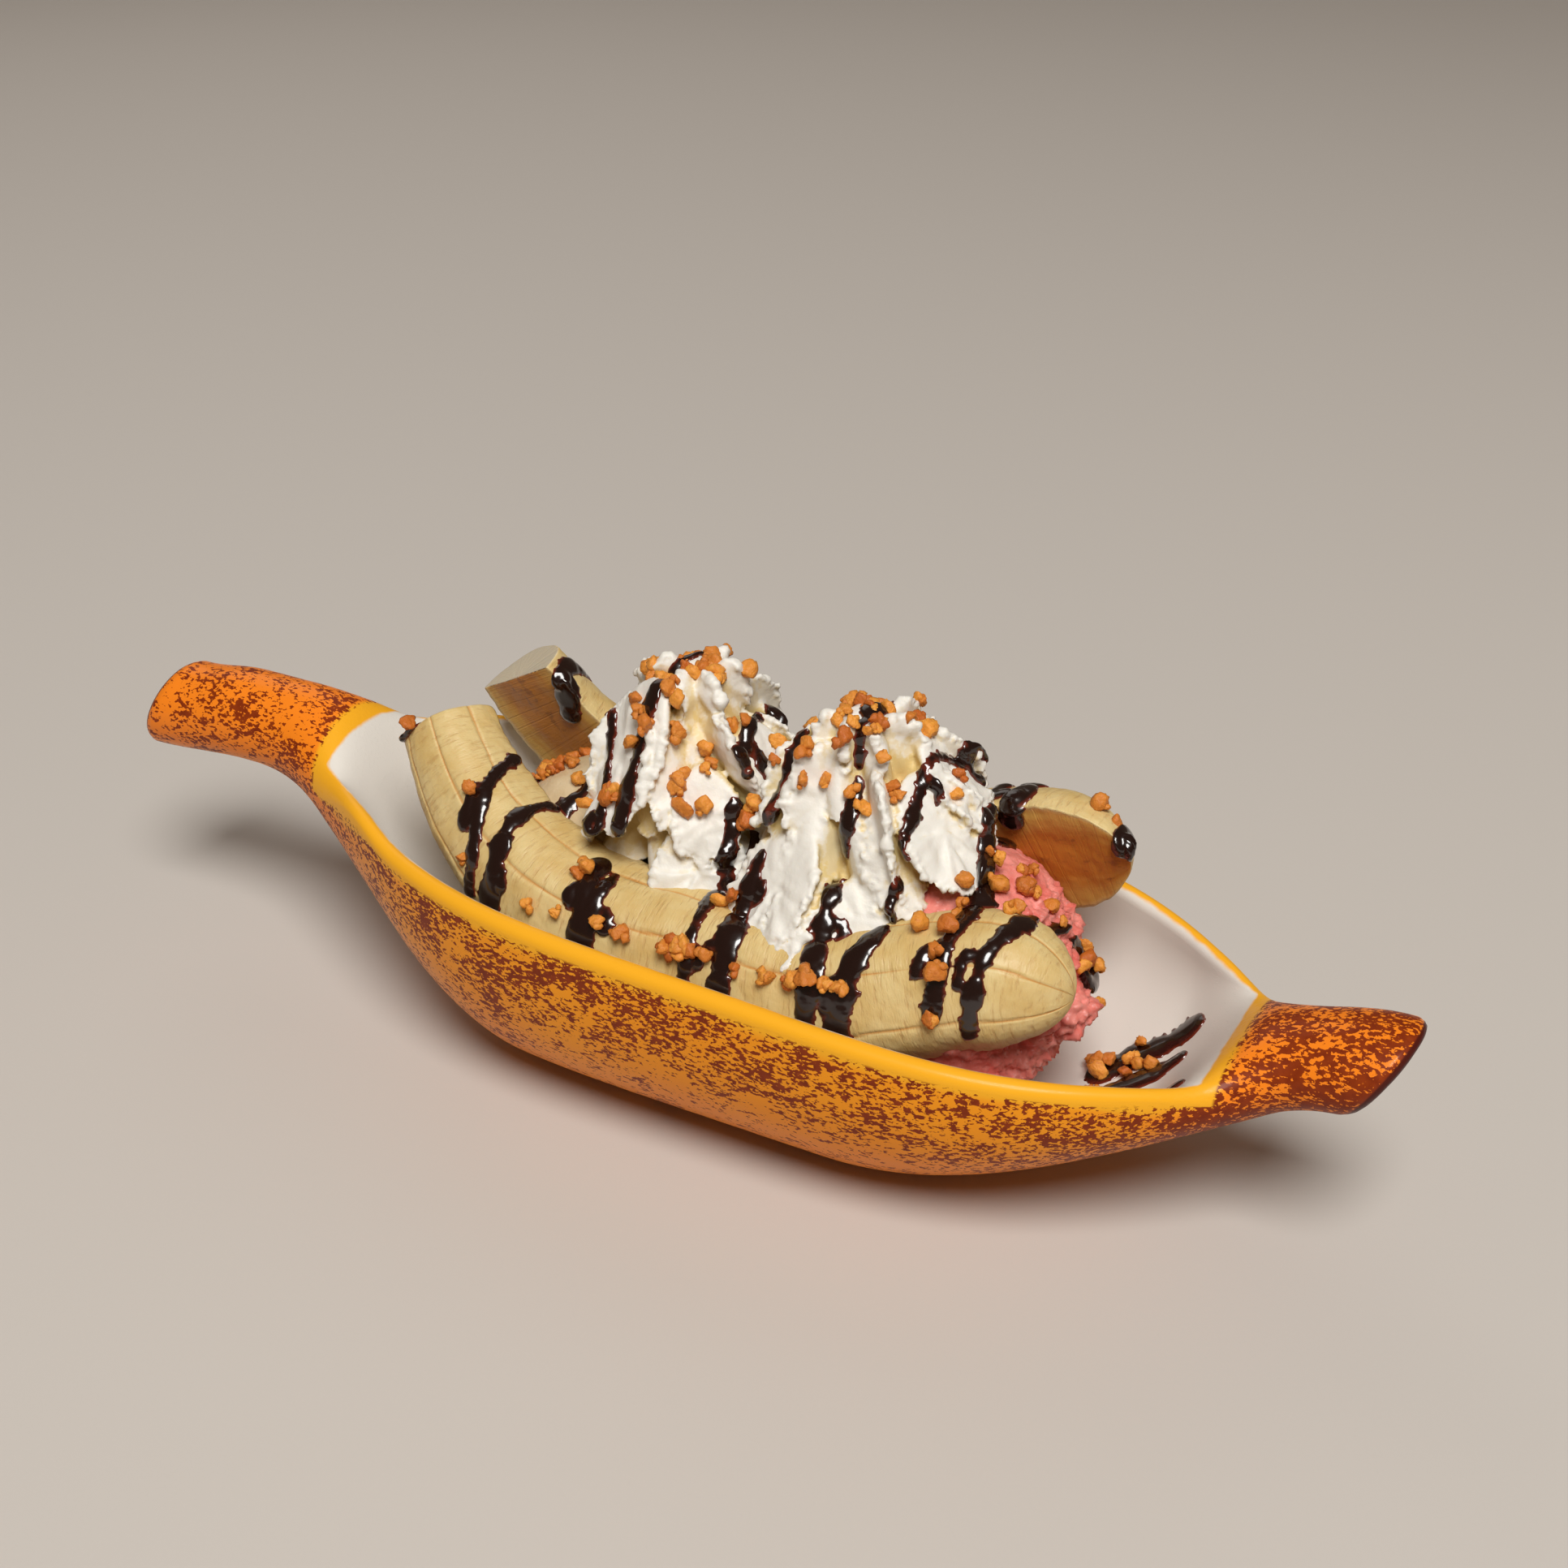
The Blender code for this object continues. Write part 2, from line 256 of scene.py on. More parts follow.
# Sauce, in millimetres. It is poured in passes from the back to the front, in a
# zigzag, and runs on down the slopes that it lands on. It breaks where it falls
# far between two steps. Strands with enough places also fork.
SAUCE_SEED = 5
SAUCE_VOXEL = 0.34
PASSES = 10
PASS_SHIFT = 2.0
PASS_ENDS = (-47.0, 86.0)
PASS_SLANT = 9.0
PASS_WANDER = 5.0
POUR_BACK = 27.0
POUR_STEP = 1.2
POUR_HEIGHT = 130.0
RIM_CLEAR = 4.0
FALL_BREAK = 3.6
STRAND_LEAST = 3
FORK_LEAST = 7
FORK_REACH = (2.5, 4.5)
FORK_LENGTHS = (5, 11)
FORK_WIDTHS = (1.8, 2.8)
RUN_STEP = 1.1
RUN_FLAT = 0.3
# Pieces: what it lies on, widths, lengths of the runs.
SAUCE = {
    "sauce_on_banana": (("banana_front_half", "banana_back_half"), (2.6, 5.6), (5, 15)),
    "sauce_on_cream": (("cream_rosette_left", "cream_rosette_right"), (2.0, 4.4), (4, 18)),
    "sauce_on_ice": (("vanilla_scoop", "chocolate_scoop", "strawberry_scoop"), (3.0, 5.4), (4, 12)),
}
# Splashes on the dish, which fan out from the middle of a scoop: first and last
# turn in degrees, count, distance of the start from the middle, length.
SPLASHES = (
    ("scoop_strawberry", -8.0, 30.0, 3, 32.0, 19.0),
    ("scoop_vanilla", -156.0, -156.0, 1, 37.0, 12.0),
)
SPLASH_SHARES = (0, 0.35, 0.7, 1)
SPLASH_FIRST_WIDTHS = (5.5, 7.5)
SPLASH_LAST_WIDTHS = (3.5, 5)

# Crunch, in millimetres: X and Y of the middle of a heap, its spread along X
# and Y, pieces. It falls from above and stays below the top.
CRUNCH_SEED = 11
CRUNCH_TOP = 101.0
CRUMB_SIZES = (2.4, 3.8)
CRUMB_EXTRA = 1.8
CRUMB_SIDES = 10
HEAPS = (
    (-1, -4, 8, 8, 50),
    (40, -6, 8, 8, 44),
    (-43, 2, 9, 8, 28),
    (76, -6, 9, 8, 16),
    (10, -25, 46, 9, 26),
    (44, -41, 26, 1.5, 26),
    (92, 4, 6, 8, 26),
)

FOOD = (
    "banana_front_half",
    "banana_back_half",
    "vanilla_scoop",
    "chocolate_scoop",
    "strawberry_scoop",
    "cream_rosette_left",
    "cream_rosette_right",
)

# Stage. Lights, in metres: place, size, colour. Camera: turn about Z from the
# front and height angle in degrees, then in millimetres the lens, the distance,
# the place it looks at and how far that moves to its right and up.
MAIN_LIGHT = ((0.9, -1.2, 2.3), 1.3, (1, 0.99, 0.96))
BACK_LIGHT = ((-1.0, 0.9, 1.0), 1.0, (1, 0.97, 0.93))
LIT_PLACE = (0.02, 0, 0.04)
ROOM_COLOUR = (1.0, 0.74, 0.52)
ROOM_STRENGTH = 0.11
TABLE_REACH = 6
CAMERA_TURN = 28.3
CAMERA_HEIGHT = 28.3
CAMERA_LENS = 53
CAMERA_DISTANCE = 523
CAMERA_TARGET = (16, 0, 30)
CAMERA_SHIFT = (2, 40.4)


# --- Numbers and curves ------------------------------------------------------


def along(rows, x):
    """The values at x on smooth curves through rows of (x, value, ...)."""
    last = len(rows) - 1
    start = max(k for k in range(last) if k == 0 or rows[k][0] <= x)

    def slopes(k):
        low, high = rows[max(k - 1, 0)], rows[min(k + 1, last)]
        return [(b - a) / (high[0] - low[0]) for a, b in zip(low[1:], high[1:])]

    low, high = rows[start], rows[start + 1]
    span = high[0] - low[0]
    f = (x - low[0]) / span
    return [
        a + (b - a) * f * f * (3 - 2 * f) + span * f * (1 - f) * (s * (1 - f) - e * f)
        for a, b, s, e in zip(low[1:], high[1:], slopes(start), slopes(start + 1))
    ]


def ease(low, high, x):
    """0 up to low and 1 from high on, with a smooth rise between them."""
    f = min(max((x - low) / (high - low), 0), 1)
    return f * f * (3 - 2 * f)


def mix(a, b, f):
    return a + (b - a) * f


def squared(angle, squareness):
    """Cosine and sine of the angle on an ellipse squared up by squareness."""
    c, s = math.cos(angle), math.sin(angle)
    power = 2 / squareness
    return math.copysign(abs(c) ** power, c), abs(s) ** power


def polar(angle, radius, z):
    return Vector((radius * math.cos(angle), radius * math.sin(angle), z))


def random_vector(rng, low, high):
    return Vector([rng.uniform(low, high) for _ in range(3)])


# --- Finishes ----------------------------------------------------------------


class Value:
    """A number socket. Arithmetic on it adds Math nodes."""

    def __init__(self, finish, socket):
        self.finish, self.socket = finish, socket

    def math(self, operation, *numbers):
        settings = {"operation": operation}
        node = self.finish.node("ShaderNodeMath", settings, dict(enumerate(numbers)))
        return Value(self.finish, node.outputs[0])

    def __add__(self, other):
        return self.math("ADD", self, other)

    def __radd__(self, other):
        return self.math("ADD", other, self)

    def __sub__(self, other):
        return self.math("SUBTRACT", self, other)

    def __rsub__(self, other):
        return self.math("SUBTRACT", other, self)

    def __mul__(self, other):
        return self.math("MULTIPLY", self, other)

    def __rmul__(self, other):
        return self.math("MULTIPLY", other, self)

    def __truediv__(self, other):
        return self.math("DIVIDE", self, other)

    def rise(self, low, high):
        """0 up to low and 1 from high on, with a smooth rise between them."""
        node = self.finish.node(
            "ShaderNodeMapRange",
            {"interpolation_type": "SMOOTHSTEP"},
            {"Value": self, "From Min": low, "From Max": high},
        )
        return Value(self.finish, node.outputs[0])


class Finish:
    """A material and its nodes."""

    def __init__(self, name):
        self.material = bpy.data.materials.new(name)
        self.material.use_nodes = True
        self.tree = self.material.node_tree
        self.shader = self.tree.nodes["Principled BSDF"]

    def node(self, kind, settings=None, inputs=None):
        node = self.tree.nodes.new(kind)
        for key, value in (settings or {}).items():
            setattr(node, key, value)
        for key, value in (inputs or {}).items():
            self.feed(node.inputs[key], value)
        return node

    def feed(self, socket, value):
        if isinstance(value, Value):
            value = value.socket
        if isinstance(value, bpy.types.NodeSocket):
            self.tree.links.new(value, socket)
        elif isinstance(value, (tuple, list)) and len(value) == 3 and socket.type == "RGBA":
            socket.default_value = (*value, 1)
        else:
            socket.default_value = value

    def place(self, stretch=(1, 1, 1), turn=(0, 0, 0)):
        """Place on the object, in metres, stretched and turned."""
        where = self.node("ShaderNodeTexCoord").outputs["Object"]
        mapping = {"Vector": where, "Scale": stretch, "Rotation": turn}
        return self.node("ShaderNodeMapping", None, mapping).outputs[0]

    def layer(self, name):
        node = self.node("ShaderNodeAttribute", {"attribute_name": name})
        return Value(self, node.outputs["Fac"])

    def noise(self, size, detail=2.0, rough=0.5, where=None, bend=0.0):
        """Noise whose largest forms are about size millimetres across."""
        inputs = {
            "Vector": where or self.place(),
            "Scale": 1 / (size * MM),
            "Detail": detail,
            "Roughness": rough,
            "Distortion": bend,
        }
        return Value(self, self.node("ShaderNodeTexNoise", None, inputs).outputs[0])

    def grain(self, where, detail, rough=0.5):
        """Noise over a vector from pair, in the units of its layers."""
        return self.noise(1 / MM, detail, rough, where)

    def pair(self, along_layer, round_layer, along_scale, round_scale):
        """A vector from two layers, for a pattern that follows the surface."""
        inputs = {
            0: self.layer(along_layer) * along_scale,
            1: self.layer(round_layer) * round_scale,
        }
        return self.node("ShaderNodeCombineXYZ", None, inputs).outputs[0]

    def blend(self, factor, first, second):
        """A colour between first and second."""
        node = self.node("ShaderNodeMix", {"data_type": "RGBA"}, {0: factor, 6: first, 7: second})
        return node.outputs[2]

    def bump(self, height, distance, strength=1.0):
        """Distance is the height of the bump in millimetres."""
        inputs = {"Height": height, "Distance": distance * MM, "Strength": strength}
        bumped = self.node("ShaderNodeBump", None, inputs).outputs[0]
        self.feed(self.shader.inputs["Normal"], bumped)

    def set(self, **values):
        for key, value in values.items():
            self.feed(self.shader.inputs[key.replace("_", " ")], value)

    def glow_inside(self, weight, reach):
        """Light that scatters inside: its share and how far it gets, in mm."""
        self.shader.inputs["Subsurface Weight"].default_value = weight
        self.shader.inputs["Subsurface Radius"].default_value = (1.0, 0.72, 0.45)
        self.shader.inputs["Subsurface Scale"].default_value = reach * MM


def glaze_finish(s):
    f = Finish("speckled_glaze")
    white = (f.layer("inside") + (f.noise(4, 2) - 0.5) * 1.2).rise(-0.4, 0.7)
    # The sponge leaves short slanting flecks, crowded in some places.
    where = f.place((0.62, 1, 1.15), (0, math.radians(24), 0))
    fleck = f.noise(s.fleck_size, 2, 0.6, where, 0.25)
    smear = f.noise(s.fleck_size * 4, 3, 0.6, where, 0.2)
    crowd = f.noise(13, 3, 0.65)
    amount = fleck * 0.62 + smear * 0.3 + crowd * 0.3
    bar = 0.77 - f.layer("speckle") * 0.165
    mark = (amount - bar).rise(0.0, 0.022)
    streak = f.noise(1.1, 2, 0.6, f.place((0.2, 1, 0.35), (0, math.radians(-32), 0)))
    brushed = (streak * 0.55 + f.layer("brushed") * 0.62).rise(0.66, 0.74)
    mark = mark.math("MAXIMUM", mark, brushed)
    warm = (f.noise(45, 2) * 0.7 + f.layer("under") * 0.6).rise(0.2, 0.95)
    body = f.blend(f.layer("bowl"), tuple(s.glaze_ends), tuple(s.glaze_body))
    body = f.blend(warm, body, tuple(s.glaze_low))
    body = f.blend(f.layer("rim").rise(0.15, 0.9), body, tuple(s.glaze_rim))
    maroon = f.blend(f.noise(2.2, 2), tuple(s.fleck_colour), tuple(s.fleck_thin))
    maroon = f.blend(f.layer("under").rise(0.35, 1), maroon, (0.2, 0.035, 0.01))
    outside = f.blend(mark * (1 - f.layer("rim").rise(0.72, 0.98)), body, maroon)
    outside = f.blend(f.layer("end_face").rise(0.3, 0.7), outside, (0.075, 0.01, 0.006))
    f.set(Base_Color=f.blend(white, outside, tuple(s.glaze_white)))
    f.set(Roughness=mark * 0.1 + f.noise(9, 3) * 0.1 + 0.3)
    f.set(Specular_IOR_Level=0.12, Coat_Weight=0.07, Coat_Roughness=0.1)
    f.bump(f.noise(14, 3, 0.5) * 0.7 + mark * 0.16, 0.16, 0.6)
    return f.material


def flesh_finish(s):
    f = Finish("banana_flesh")
    dash = f.grain(f.pair("along", "round", 0.95, 0.16), 3, 0.6).rise(0.5, 0.72)
    fine = f.grain(f.pair("along", "round", 2.6, 0.5), 2)
    blotch = f.noise(9, 3, 0.55)
    skin = f.blend(blotch.rise(0.3, 0.75), tuple(s.flesh_pale), tuple(s.flesh_deep))
    skin = f.blend(dash * 0.6, skin, tuple(s.flesh_dash))
    line = f.layer("line") * (f.noise(7, 2) * 0.9 + 0.45)
    skin = f.blend(line.rise(0.25, 0.95) * 0.85, skin, tuple(s.flesh_line))
    # The cut faces' amber-brown is partly the flesh's own colour, with a darker core and dark seeds
    # in the middle, and partly painted shade, since these faces lie in shadow.
    grain = f.grain(f.pair("along", "across", 0.05, 0.45), 3, 0.6)
    middle = 1 - f.layer("across").math("ABSOLUTE", f.layer("across")) / CUT_HALF
    core = (middle + (grain - 0.5) * 0.7).rise(0.02, 0.7)
    cut = f.blend(core, tuple(s.cut_edge), tuple(s.cut_middle))
    seeds = (grain * 0.5 + f.noise(2.0, 2) * 0.5 + middle * 0.24).rise(0.74, 0.84)
    cut = f.blend(seeds * 0.55, cut, (0.2, 0.06, 0.015))
    colour = f.blend(f.layer("cut_face"), skin, cut)
    # The ends cut across are paler: their own pale flesh, lifted further as a painted highlight for
    # their wet shine.
    colour = f.blend(f.layer("end"), colour, (0.8, 0.7, 0.52))
    f.set(Base_Color=colour)
    f.set(Roughness=0.5 - f.layer("end") * 0.32 - f.layer("cut_face") * 0.1 + (fine - 0.5) * 0.12)
    f.set(Coat_Weight=f.layer("end") * 0.8 + 0.06, Coat_Roughness=0.12)
    f.glow_inside(0.16, 3.0)
    f.bump(dash * -0.5 + fine * 0.5 + f.noise(0.9, 2) * 0.35 - line * 0.9, 0.24, 0.85)
    return f.material


def ice_finish(name, colour, deep, crystals):
    f = Finish(name)
    patch = f.noise(6, 3, 0.6)
    grain = f.noise(1.3, 3, 0.65)
    colour = f.blend(patch.rise(0.3, 0.75), tuple(colour), tuple(deep))
    colour = f.blend(grain.rise(0.56, 0.78) * crystals, colour, (0.95, 0.72, 0.7))
    f.set(Base_Color=colour, Roughness=0.5 - grain * 0.2)
    f.glow_inside(0.18, 2.5)
    f.bump(grain * 0.7 + f.noise(0.5, 2) * 0.3, 0.3, 0.8)
    return f.material


def cream_finish(s):
    f = Finish("whipped_cream")
    # Painted shade: the cream turns darker and yellower where it is closed in, in its crevices and
    # valleys.
    deep = f.layer("crevice_shade")
    colour = f.blend(deep.rise(0.12, 0.65), tuple(s.cream_crest), tuple(s.cream_shade))
    f.set(Base_Color=colour, Roughness=0.52)
    f.glow_inside(0.08, 2.0)
    f.bump(f.noise(1.0, 3, 0.6) * 0.6 + f.noise(0.45, 2) * 0.25, 0.2, 0.7)
    return f.material


def sauce_finish(s):
    f = Finish("chocolate_sauce")
    thick = f.layer("thick")
    colour = f.blend(thick.rise(0.12, 0.6), tuple(s.sauce_edge), tuple(s.sauce_deep))
    f.set(Base_Color=colour, Roughness=0.16 + f.noise(2, 2) * 0.1)
    f.set(Coat_Weight=0.6, Coat_Roughness=0.06)
    f.bump(f.noise(2.5, 3) * 0.6, 0.14, 0.5)
    return f.material


def crunch_finish(s):
    f = Finish("nut_crunch")
    tone = f.layer("tone")
    colour = f.blend(tone, tuple(s.crunch_dark), tuple(s.crunch_light))
    colour = f.blend(f.noise(1.2, 3, 0.6).rise(0.5, 0.75) * 0.6, colour, tuple(s.crunch_toast))
    f.set(Base_Color=colour, Roughness=0.36 + f.noise(0.9, 2) * 0.2)
    f.set(Specular_IOR_Level=0.35)
    f.glow_inside(0.2, 1.5)
    f.bump(f.noise(0.8, 3, 0.65), 0.4, 0.9)
    return f.material


def table_finish(s):
    f = Finish("pale_table")
    f.set(Base_Color=f.blend(f.noise(0.8, 2) * 0.1, tuple(s.table), (0.5, 0.46, 0.42)))
    f.set(Roughness=0.6)
    return f.material


# --- Meshes ------------------------------------------------------------------


def sheet(columns, rows, place, layers=()):
    """A grid whose points are put, in millimetres, where place(i, j) says. It
    also returns a value for each of the layers."""
    bm = bmesh.new()
    made = [bm.verts.layers.float.new(name) for name in layers]
    bmesh.ops.create_grid(bm, x_segments=columns, y_segments=rows, size=0.5)
    for vert in bm.verts:
        i = round((vert.co.x + 0.5) * columns)
        j = round((vert.co.y + 0.5) * rows)
        point, *values = place(i, j)
        vert.co = Vector(point) * MM
        for layer, value in zip(made, values):
            vert[layer] = value
    return bm


def close(bm):
    """Merges the seam of a sheet that was bent into a tube and fills its ends."""
    bmesh.ops.remove_doubles(bm, verts=bm.verts, dist=2e-6)
    bmesh.ops.holes_fill(bm, edges=[e for e in bm.edges if e.is_boundary], sides=0)
    bmesh.ops.recalc_face_normals(bm, faces=bm.faces)


def add_mesh(name, bm, material=None):
    mesh = bpy.data.meshes.new(name)
    bm.to_mesh(mesh)
    bm.free()
    mesh.shade_smooth()
    if material:
        mesh.materials.append(material)
    obj = bpy.data.objects.new(name, mesh)
    bpy.context.scene.collection.objects.link(obj)
    return obj


def add_piece(name, bm, material, slot, *nodes):
    obj = add_mesh(name, bm, material)
    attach(obj, "root")
    if nodes:
        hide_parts(*nodes)
    return obj


def fused(bm, voxel, smooth):
    """One skin round everything in bm, with voxels of the size in mm."""
    obj = add_mesh("to_fuse", bm)
    remesh = obj.modifiers.new("fuse", "REMESH")
    remesh.mode = "VOXEL"
    remesh.voxel_size = voxel * MM
    graph = bpy.context.evaluated_depsgraph_get()
    mesh = bpy.data.meshes.new_from_object(obj.evaluated_get(graph))
    out = bmesh.new()
    out.from_mesh(mesh)
    bpy.data.meshes.remove(mesh)
    source = obj.data
    bpy.data.objects.remove(obj)
    bpy.data.meshes.remove(source)
    for _ in range(smooth):
        bmesh.ops.smooth_vert(
            out, verts=out.verts, factor=0.5, use_axis_x=True, use_axis_y=True, use_axis_z=True
        )
    out.normal_update()
    return out


def crumple(bm, forms, strength):
    """Moves points along their normals by noise: (size, height) rows in mm, and
    the strength at a place."""
    for vert in bm.verts:
        place = vert.co / MM
        lift = sum(height * noise.noise(place / size) for size, height in forms)
        vert.co += vert.normal * lift * strength(place) * MM


# --- Dish --------------------------------------------------------------------


def dish_top(half, top, widest, floor, hollow):
    """The upper side of a section, from +Y to -Y: a dome over the stem and
    the tip, and a round rim, wall and floor where the dish is hollow."""
    inner = half - WALL
    rim = []
    for k in range(1, RIM_STEPS + 1):
        angle = math.pi * k / (RIM_STEPS + 1)
        rim.append((half - RIM_ROUND + RIM_ROUND * math.cos(angle), RIM_ROUND * math.sin(angle)))
    cavity = [(y, top - RIM_ROUND + z) for y, z in rim]
    for k in range(FLOOR_STEPS + 1):
        c, s = squared(math.pi * k / FLOOR_STEPS, FLOOR_SQUARENESS)
        cavity.append((inner * c, mix(top - RIM_ROUND, floor, s)))
    cavity += [(-y, top - RIM_ROUND + z) for y, z in reversed(rim)]
    points = []
    for k, (y, z) in enumerate(cavity, 1):
        angle = math.pi * k / (len(cavity) + 1)
        dome = (half * math.cos(angle), widest + (top - widest) * math.sin(angle))
        points.append((mix(dome[0], y, hollow), mix(dome[1], z, hollow)))
    return points


def dish_half_width(x):
    neck, slim, fullness, softness = STEM_PLAN if x < BOWL_MIDDLE else TIP_PLAN
    out = min((x - BOWL_MIDDLE) / (neck - BOWL_MIDDLE), 1)
    return mix(slim, BOWL_HALF_WIDTH, (1 - out**fullness) ** softness)


def dish_heights(x):
    """Height of the rim or of the top, and of the underside."""
    beyond = x - BOWL_MIDDLE
    top = RIM_HEIGHT - RIM_SLOPE * beyond - RIM_SAG * max(beyond, 0) ** 2
    top = mix(top, STEM_TOP, ease(*STEM_TOP_RISE, x))
    top = mix(top, TIP_TOP, ease(*TIP_TOP_RISE, x))
    under = mix(-FOOT_DEPTH, STEM_UNDER, ease(*STEM_UNDER_RISE, x))
    under = mix(under, TIP_UNDER, ease(*TIP_UNDER_RISE, x))
    droop = STEM_DROOP * ease(STEM_END + END_LEAN, STEM_END, x)
    return top - droop, under - droop


def dish_ring(x):
    """Points of a section with, for each, its inside, rim, under, speckle and bowl."""
    half = dish_half_width(x)
    top, under = dish_heights(x)
    hollow = ease(*STEM_HOLLOW, x) * ease(*TIP_HOLLOW, x)
    middle = (top + under) / 2
    widest = mix(middle, top - RIM_ROUND, hollow)
    section = []
    for k in range(OUTER_STEPS + 1):
        c, s = squared(math.pi * k / OUTER_STEPS, mix(2, OUTER_SQUARENESS, hollow))
        section.append((-half * c, mix(widest, under, s), False))
    section += [
        (y, z, True) for y, z in dish_top(half, top, widest, max(under, 0) + WALL, hollow)
    ]
    lean = STEM_LEAN_SLOPE * ease(STEM_END + END_LEAN, STEM_END, x)
    lean += TIP_LEAN_SLOPE * ease(TIP_END - END_LEAN, TIP_END, x)
    flecks = FLECKS_ON_STEM if x < BOWL_MIDDLE else FLECKS_ON_TIP
    near = min(x - WHITE_ENDS[0], WHITE_ENDS[1] - x) * WHITE_END_SLOPE
    ring = []
    for y, z, upper in section:
        drop = widest - z
        if upper:
            inside = min(half - WHITE_EDGE - abs(y), near, WHITE_MOST)
            rim, low, band = ease(*PLAIN_ROUND_WHITE, inside), 0.0, FLECKS_ON_RIM
        else:
            inside = WHITE_NONE
            rim = hollow * ease(*PLAIN_UNDER_RIM, drop)
            low = ease(*LOW_SHARES, drop / max(widest - under, 1))
            band = ease(*FLECKS_START, drop)
            band *= mix(1.0, FLECKS_LOW_DOWN, ease(*FLECKS_THIN_OUT, drop))
        speckle = mix(flecks, band, hollow)
        ring.append(
            (Vector((x + lean * (z - middle), y, z)), inside, rim, low, speckle, hollow)
        )
    return ring


def dish_rings():
    count = round((TIP_END - STEM_END) / DISH_STEP)
    rings = []
    for k in range(count + 1):
        x = mix(STEM_END, TIP_END, k / count)
        before = BRUSHED_WEAKER * ease(*BRUSHED_START, x) * ease(*BRUSHED_STOP, x)
        brushed = ease(*BRUSHED_TIP, x) + before
        rings.append(
            [(*point, brushed * (0.35 + 0.65 * point[3]), 0.0) for point in dish_ring(x)]
        )

    def ends(ring, side):
        middle = sum((point[0] for point in ring), Vector()) / len(ring)
        for share, out in END_ROUNDING:
            face = ease(0.995, 0.93, share) if side > 0 else ease(1.0, 0.9, share) * 0.7
            yield [
                (
                    middle.lerp(place, share) + Vector((side * out, 0, 0)),
                    *layers[:-1],
                    face,
                )
                for place, *layers in ring
            ]

    return [*list(ends(rings[0], -1))[::-1], *rings, *ends(rings[-1], 1)]


def make_dish(s):
    rings = dish_rings()
    count = len(rings[0])
    layers = ("inside", "rim", "under", "speckle", "bowl", "brushed", "end_face")
    bm = sheet(count, len(rings) - 1, lambda i, j: rings[j][i % count], layers)
    close(bm)
    cut = bmesh.ops.bisect_plane(
        bm,
        geom=bm.verts[:] + bm.edges[:] + bm.faces[:],
        dist=1e-7,
        plane_co=(0, 0, 0),
        plane_no=(0, 0, -1),
        clear_outer=True,
    )
    foot = [e for e in cut["geom_cut"] if isinstance(e, bmesh.types.BMEdge)]
    bmesh.ops.contextual_create(bm, geom=foot)
    bmesh.ops.recalc_face_normals(bm, faces=bm.faces)
    return add_piece("dish_body", bm, glaze_finish(s), "dish_glaze", "dish")


# --- Bananas -----------------------------------------------------------------


def banana_rows(bend, widths):
    """Rows of distance along the half, X and Z of the middle of the cut face,
    and half width, worked out from the bend and the widths."""
    start, lowest, tip, power, climb = bend
    rows = []
    for k in range(BEND_STEPS + 1):
        x = mix(start[0], tip[0], k / BEND_STEPS)
        before = max((lowest[0] - x) / (lowest[0] - start[0]), 0)
        after = max((x - lowest[0]) / (tip[0] - lowest[0]), 0)
        z = lowest[1] + (start[1] - lowest[1]) * before**power
        z += (tip[1] - lowest[1]) * ease(*climb, after)
        narrow = max(x - tip[0] + TIP_NARROWING, 0) / TIP_NARROWING
        half = widths[1] - (widths[1] - widths[0]) * before**3
        half -= (widths[1] - widths[2]) * narrow**2
        s = rows[-1][0] + math.dist((x, z), rows[-1][1:3]) if rows else 0
        rows.append((s, x, z, half))
    return rows


def banana_middle(plane, rows, s):
    """Middle of the cut face at a distance along the half, and its half width."""
    (y0, z0), angle = plane
    x, z, half = along(rows, s)
    lean = math.tan(math.radians(angle - 90))
    return Vector((x, y0 + (z - z0) * lean, z)), half


def banana_axes(plane, rows, s):
    """Directions across the cut face and straight out of it."""
    run = banana_middle(plane, rows, s + 1)[0] - banana_middle(plane, rows, s - 1)[0]
    turn = math.radians(plane[1])
    face = Vector((0, math.sin(turn), math.cos(turn)))
    return run.normalized().cross(face), face


def banana_ring(plane, rows, s, share, end):
    """A half-round section, with its along, round, across, line and the rest."""
    middle, half = banana_middle(plane, rows, s)
    side, face = banana_axes(plane, rows, s)
    ring = []
    for k in range(BANANA_ROUND_STEPS + 1):
        angle = math.pi * k / BANANA_ROUND_STEPS
        radius = half * (1 + BANANA_RIDGE * math.cos(BANANA_RIDGES * angle))
        out = side * math.cos(angle) - face * math.sin(angle)
        spot = middle + out * radius
        wobble = 1.1 * noise.noise(Vector((s / 16, angle * 2.5, 3)))
        lines = [abs(half * (angle - math.radians(d)) + wobble) for d in BANANA_LINES]
        line = max(ease(0.55, 0.1, gap) for gap in lines)
        lump = BANANA_LUMP * noise.noise(spot / 7) + 0.12 * noise.noise(spot / 1.6)
        rough = 0.5 * noise.noise(spot / 2.1) * ease(0.3, 0.0, min(angle, math.pi - angle))
        spot = middle + out * (radius + lump + rough - 0.25 * line) * share
        ring.append((spot, s, angle * half, half, line * (1 - end), 0.0, end))
    first, last = ring[0][0], ring[-1][0]
    for k in range(1, BANANA_FACE_STEPS):
        f = k / BANANA_FACE_STEPS
        spot = last.lerp(first, f)
        sag = 0.35 * noise.noise(spot / 6) + 0.15 * noise.noise(spot / 2)
        edge = min(f, 1 - f) * BANANA_FACE_STEPS
        spot = spot + face * sag * ease(0, 2, edge)
        ring.append((spot, s, 0.0, half * (2 * f - 1), 0.0, ease(0.4, 1.6, edge), end))
    return ring


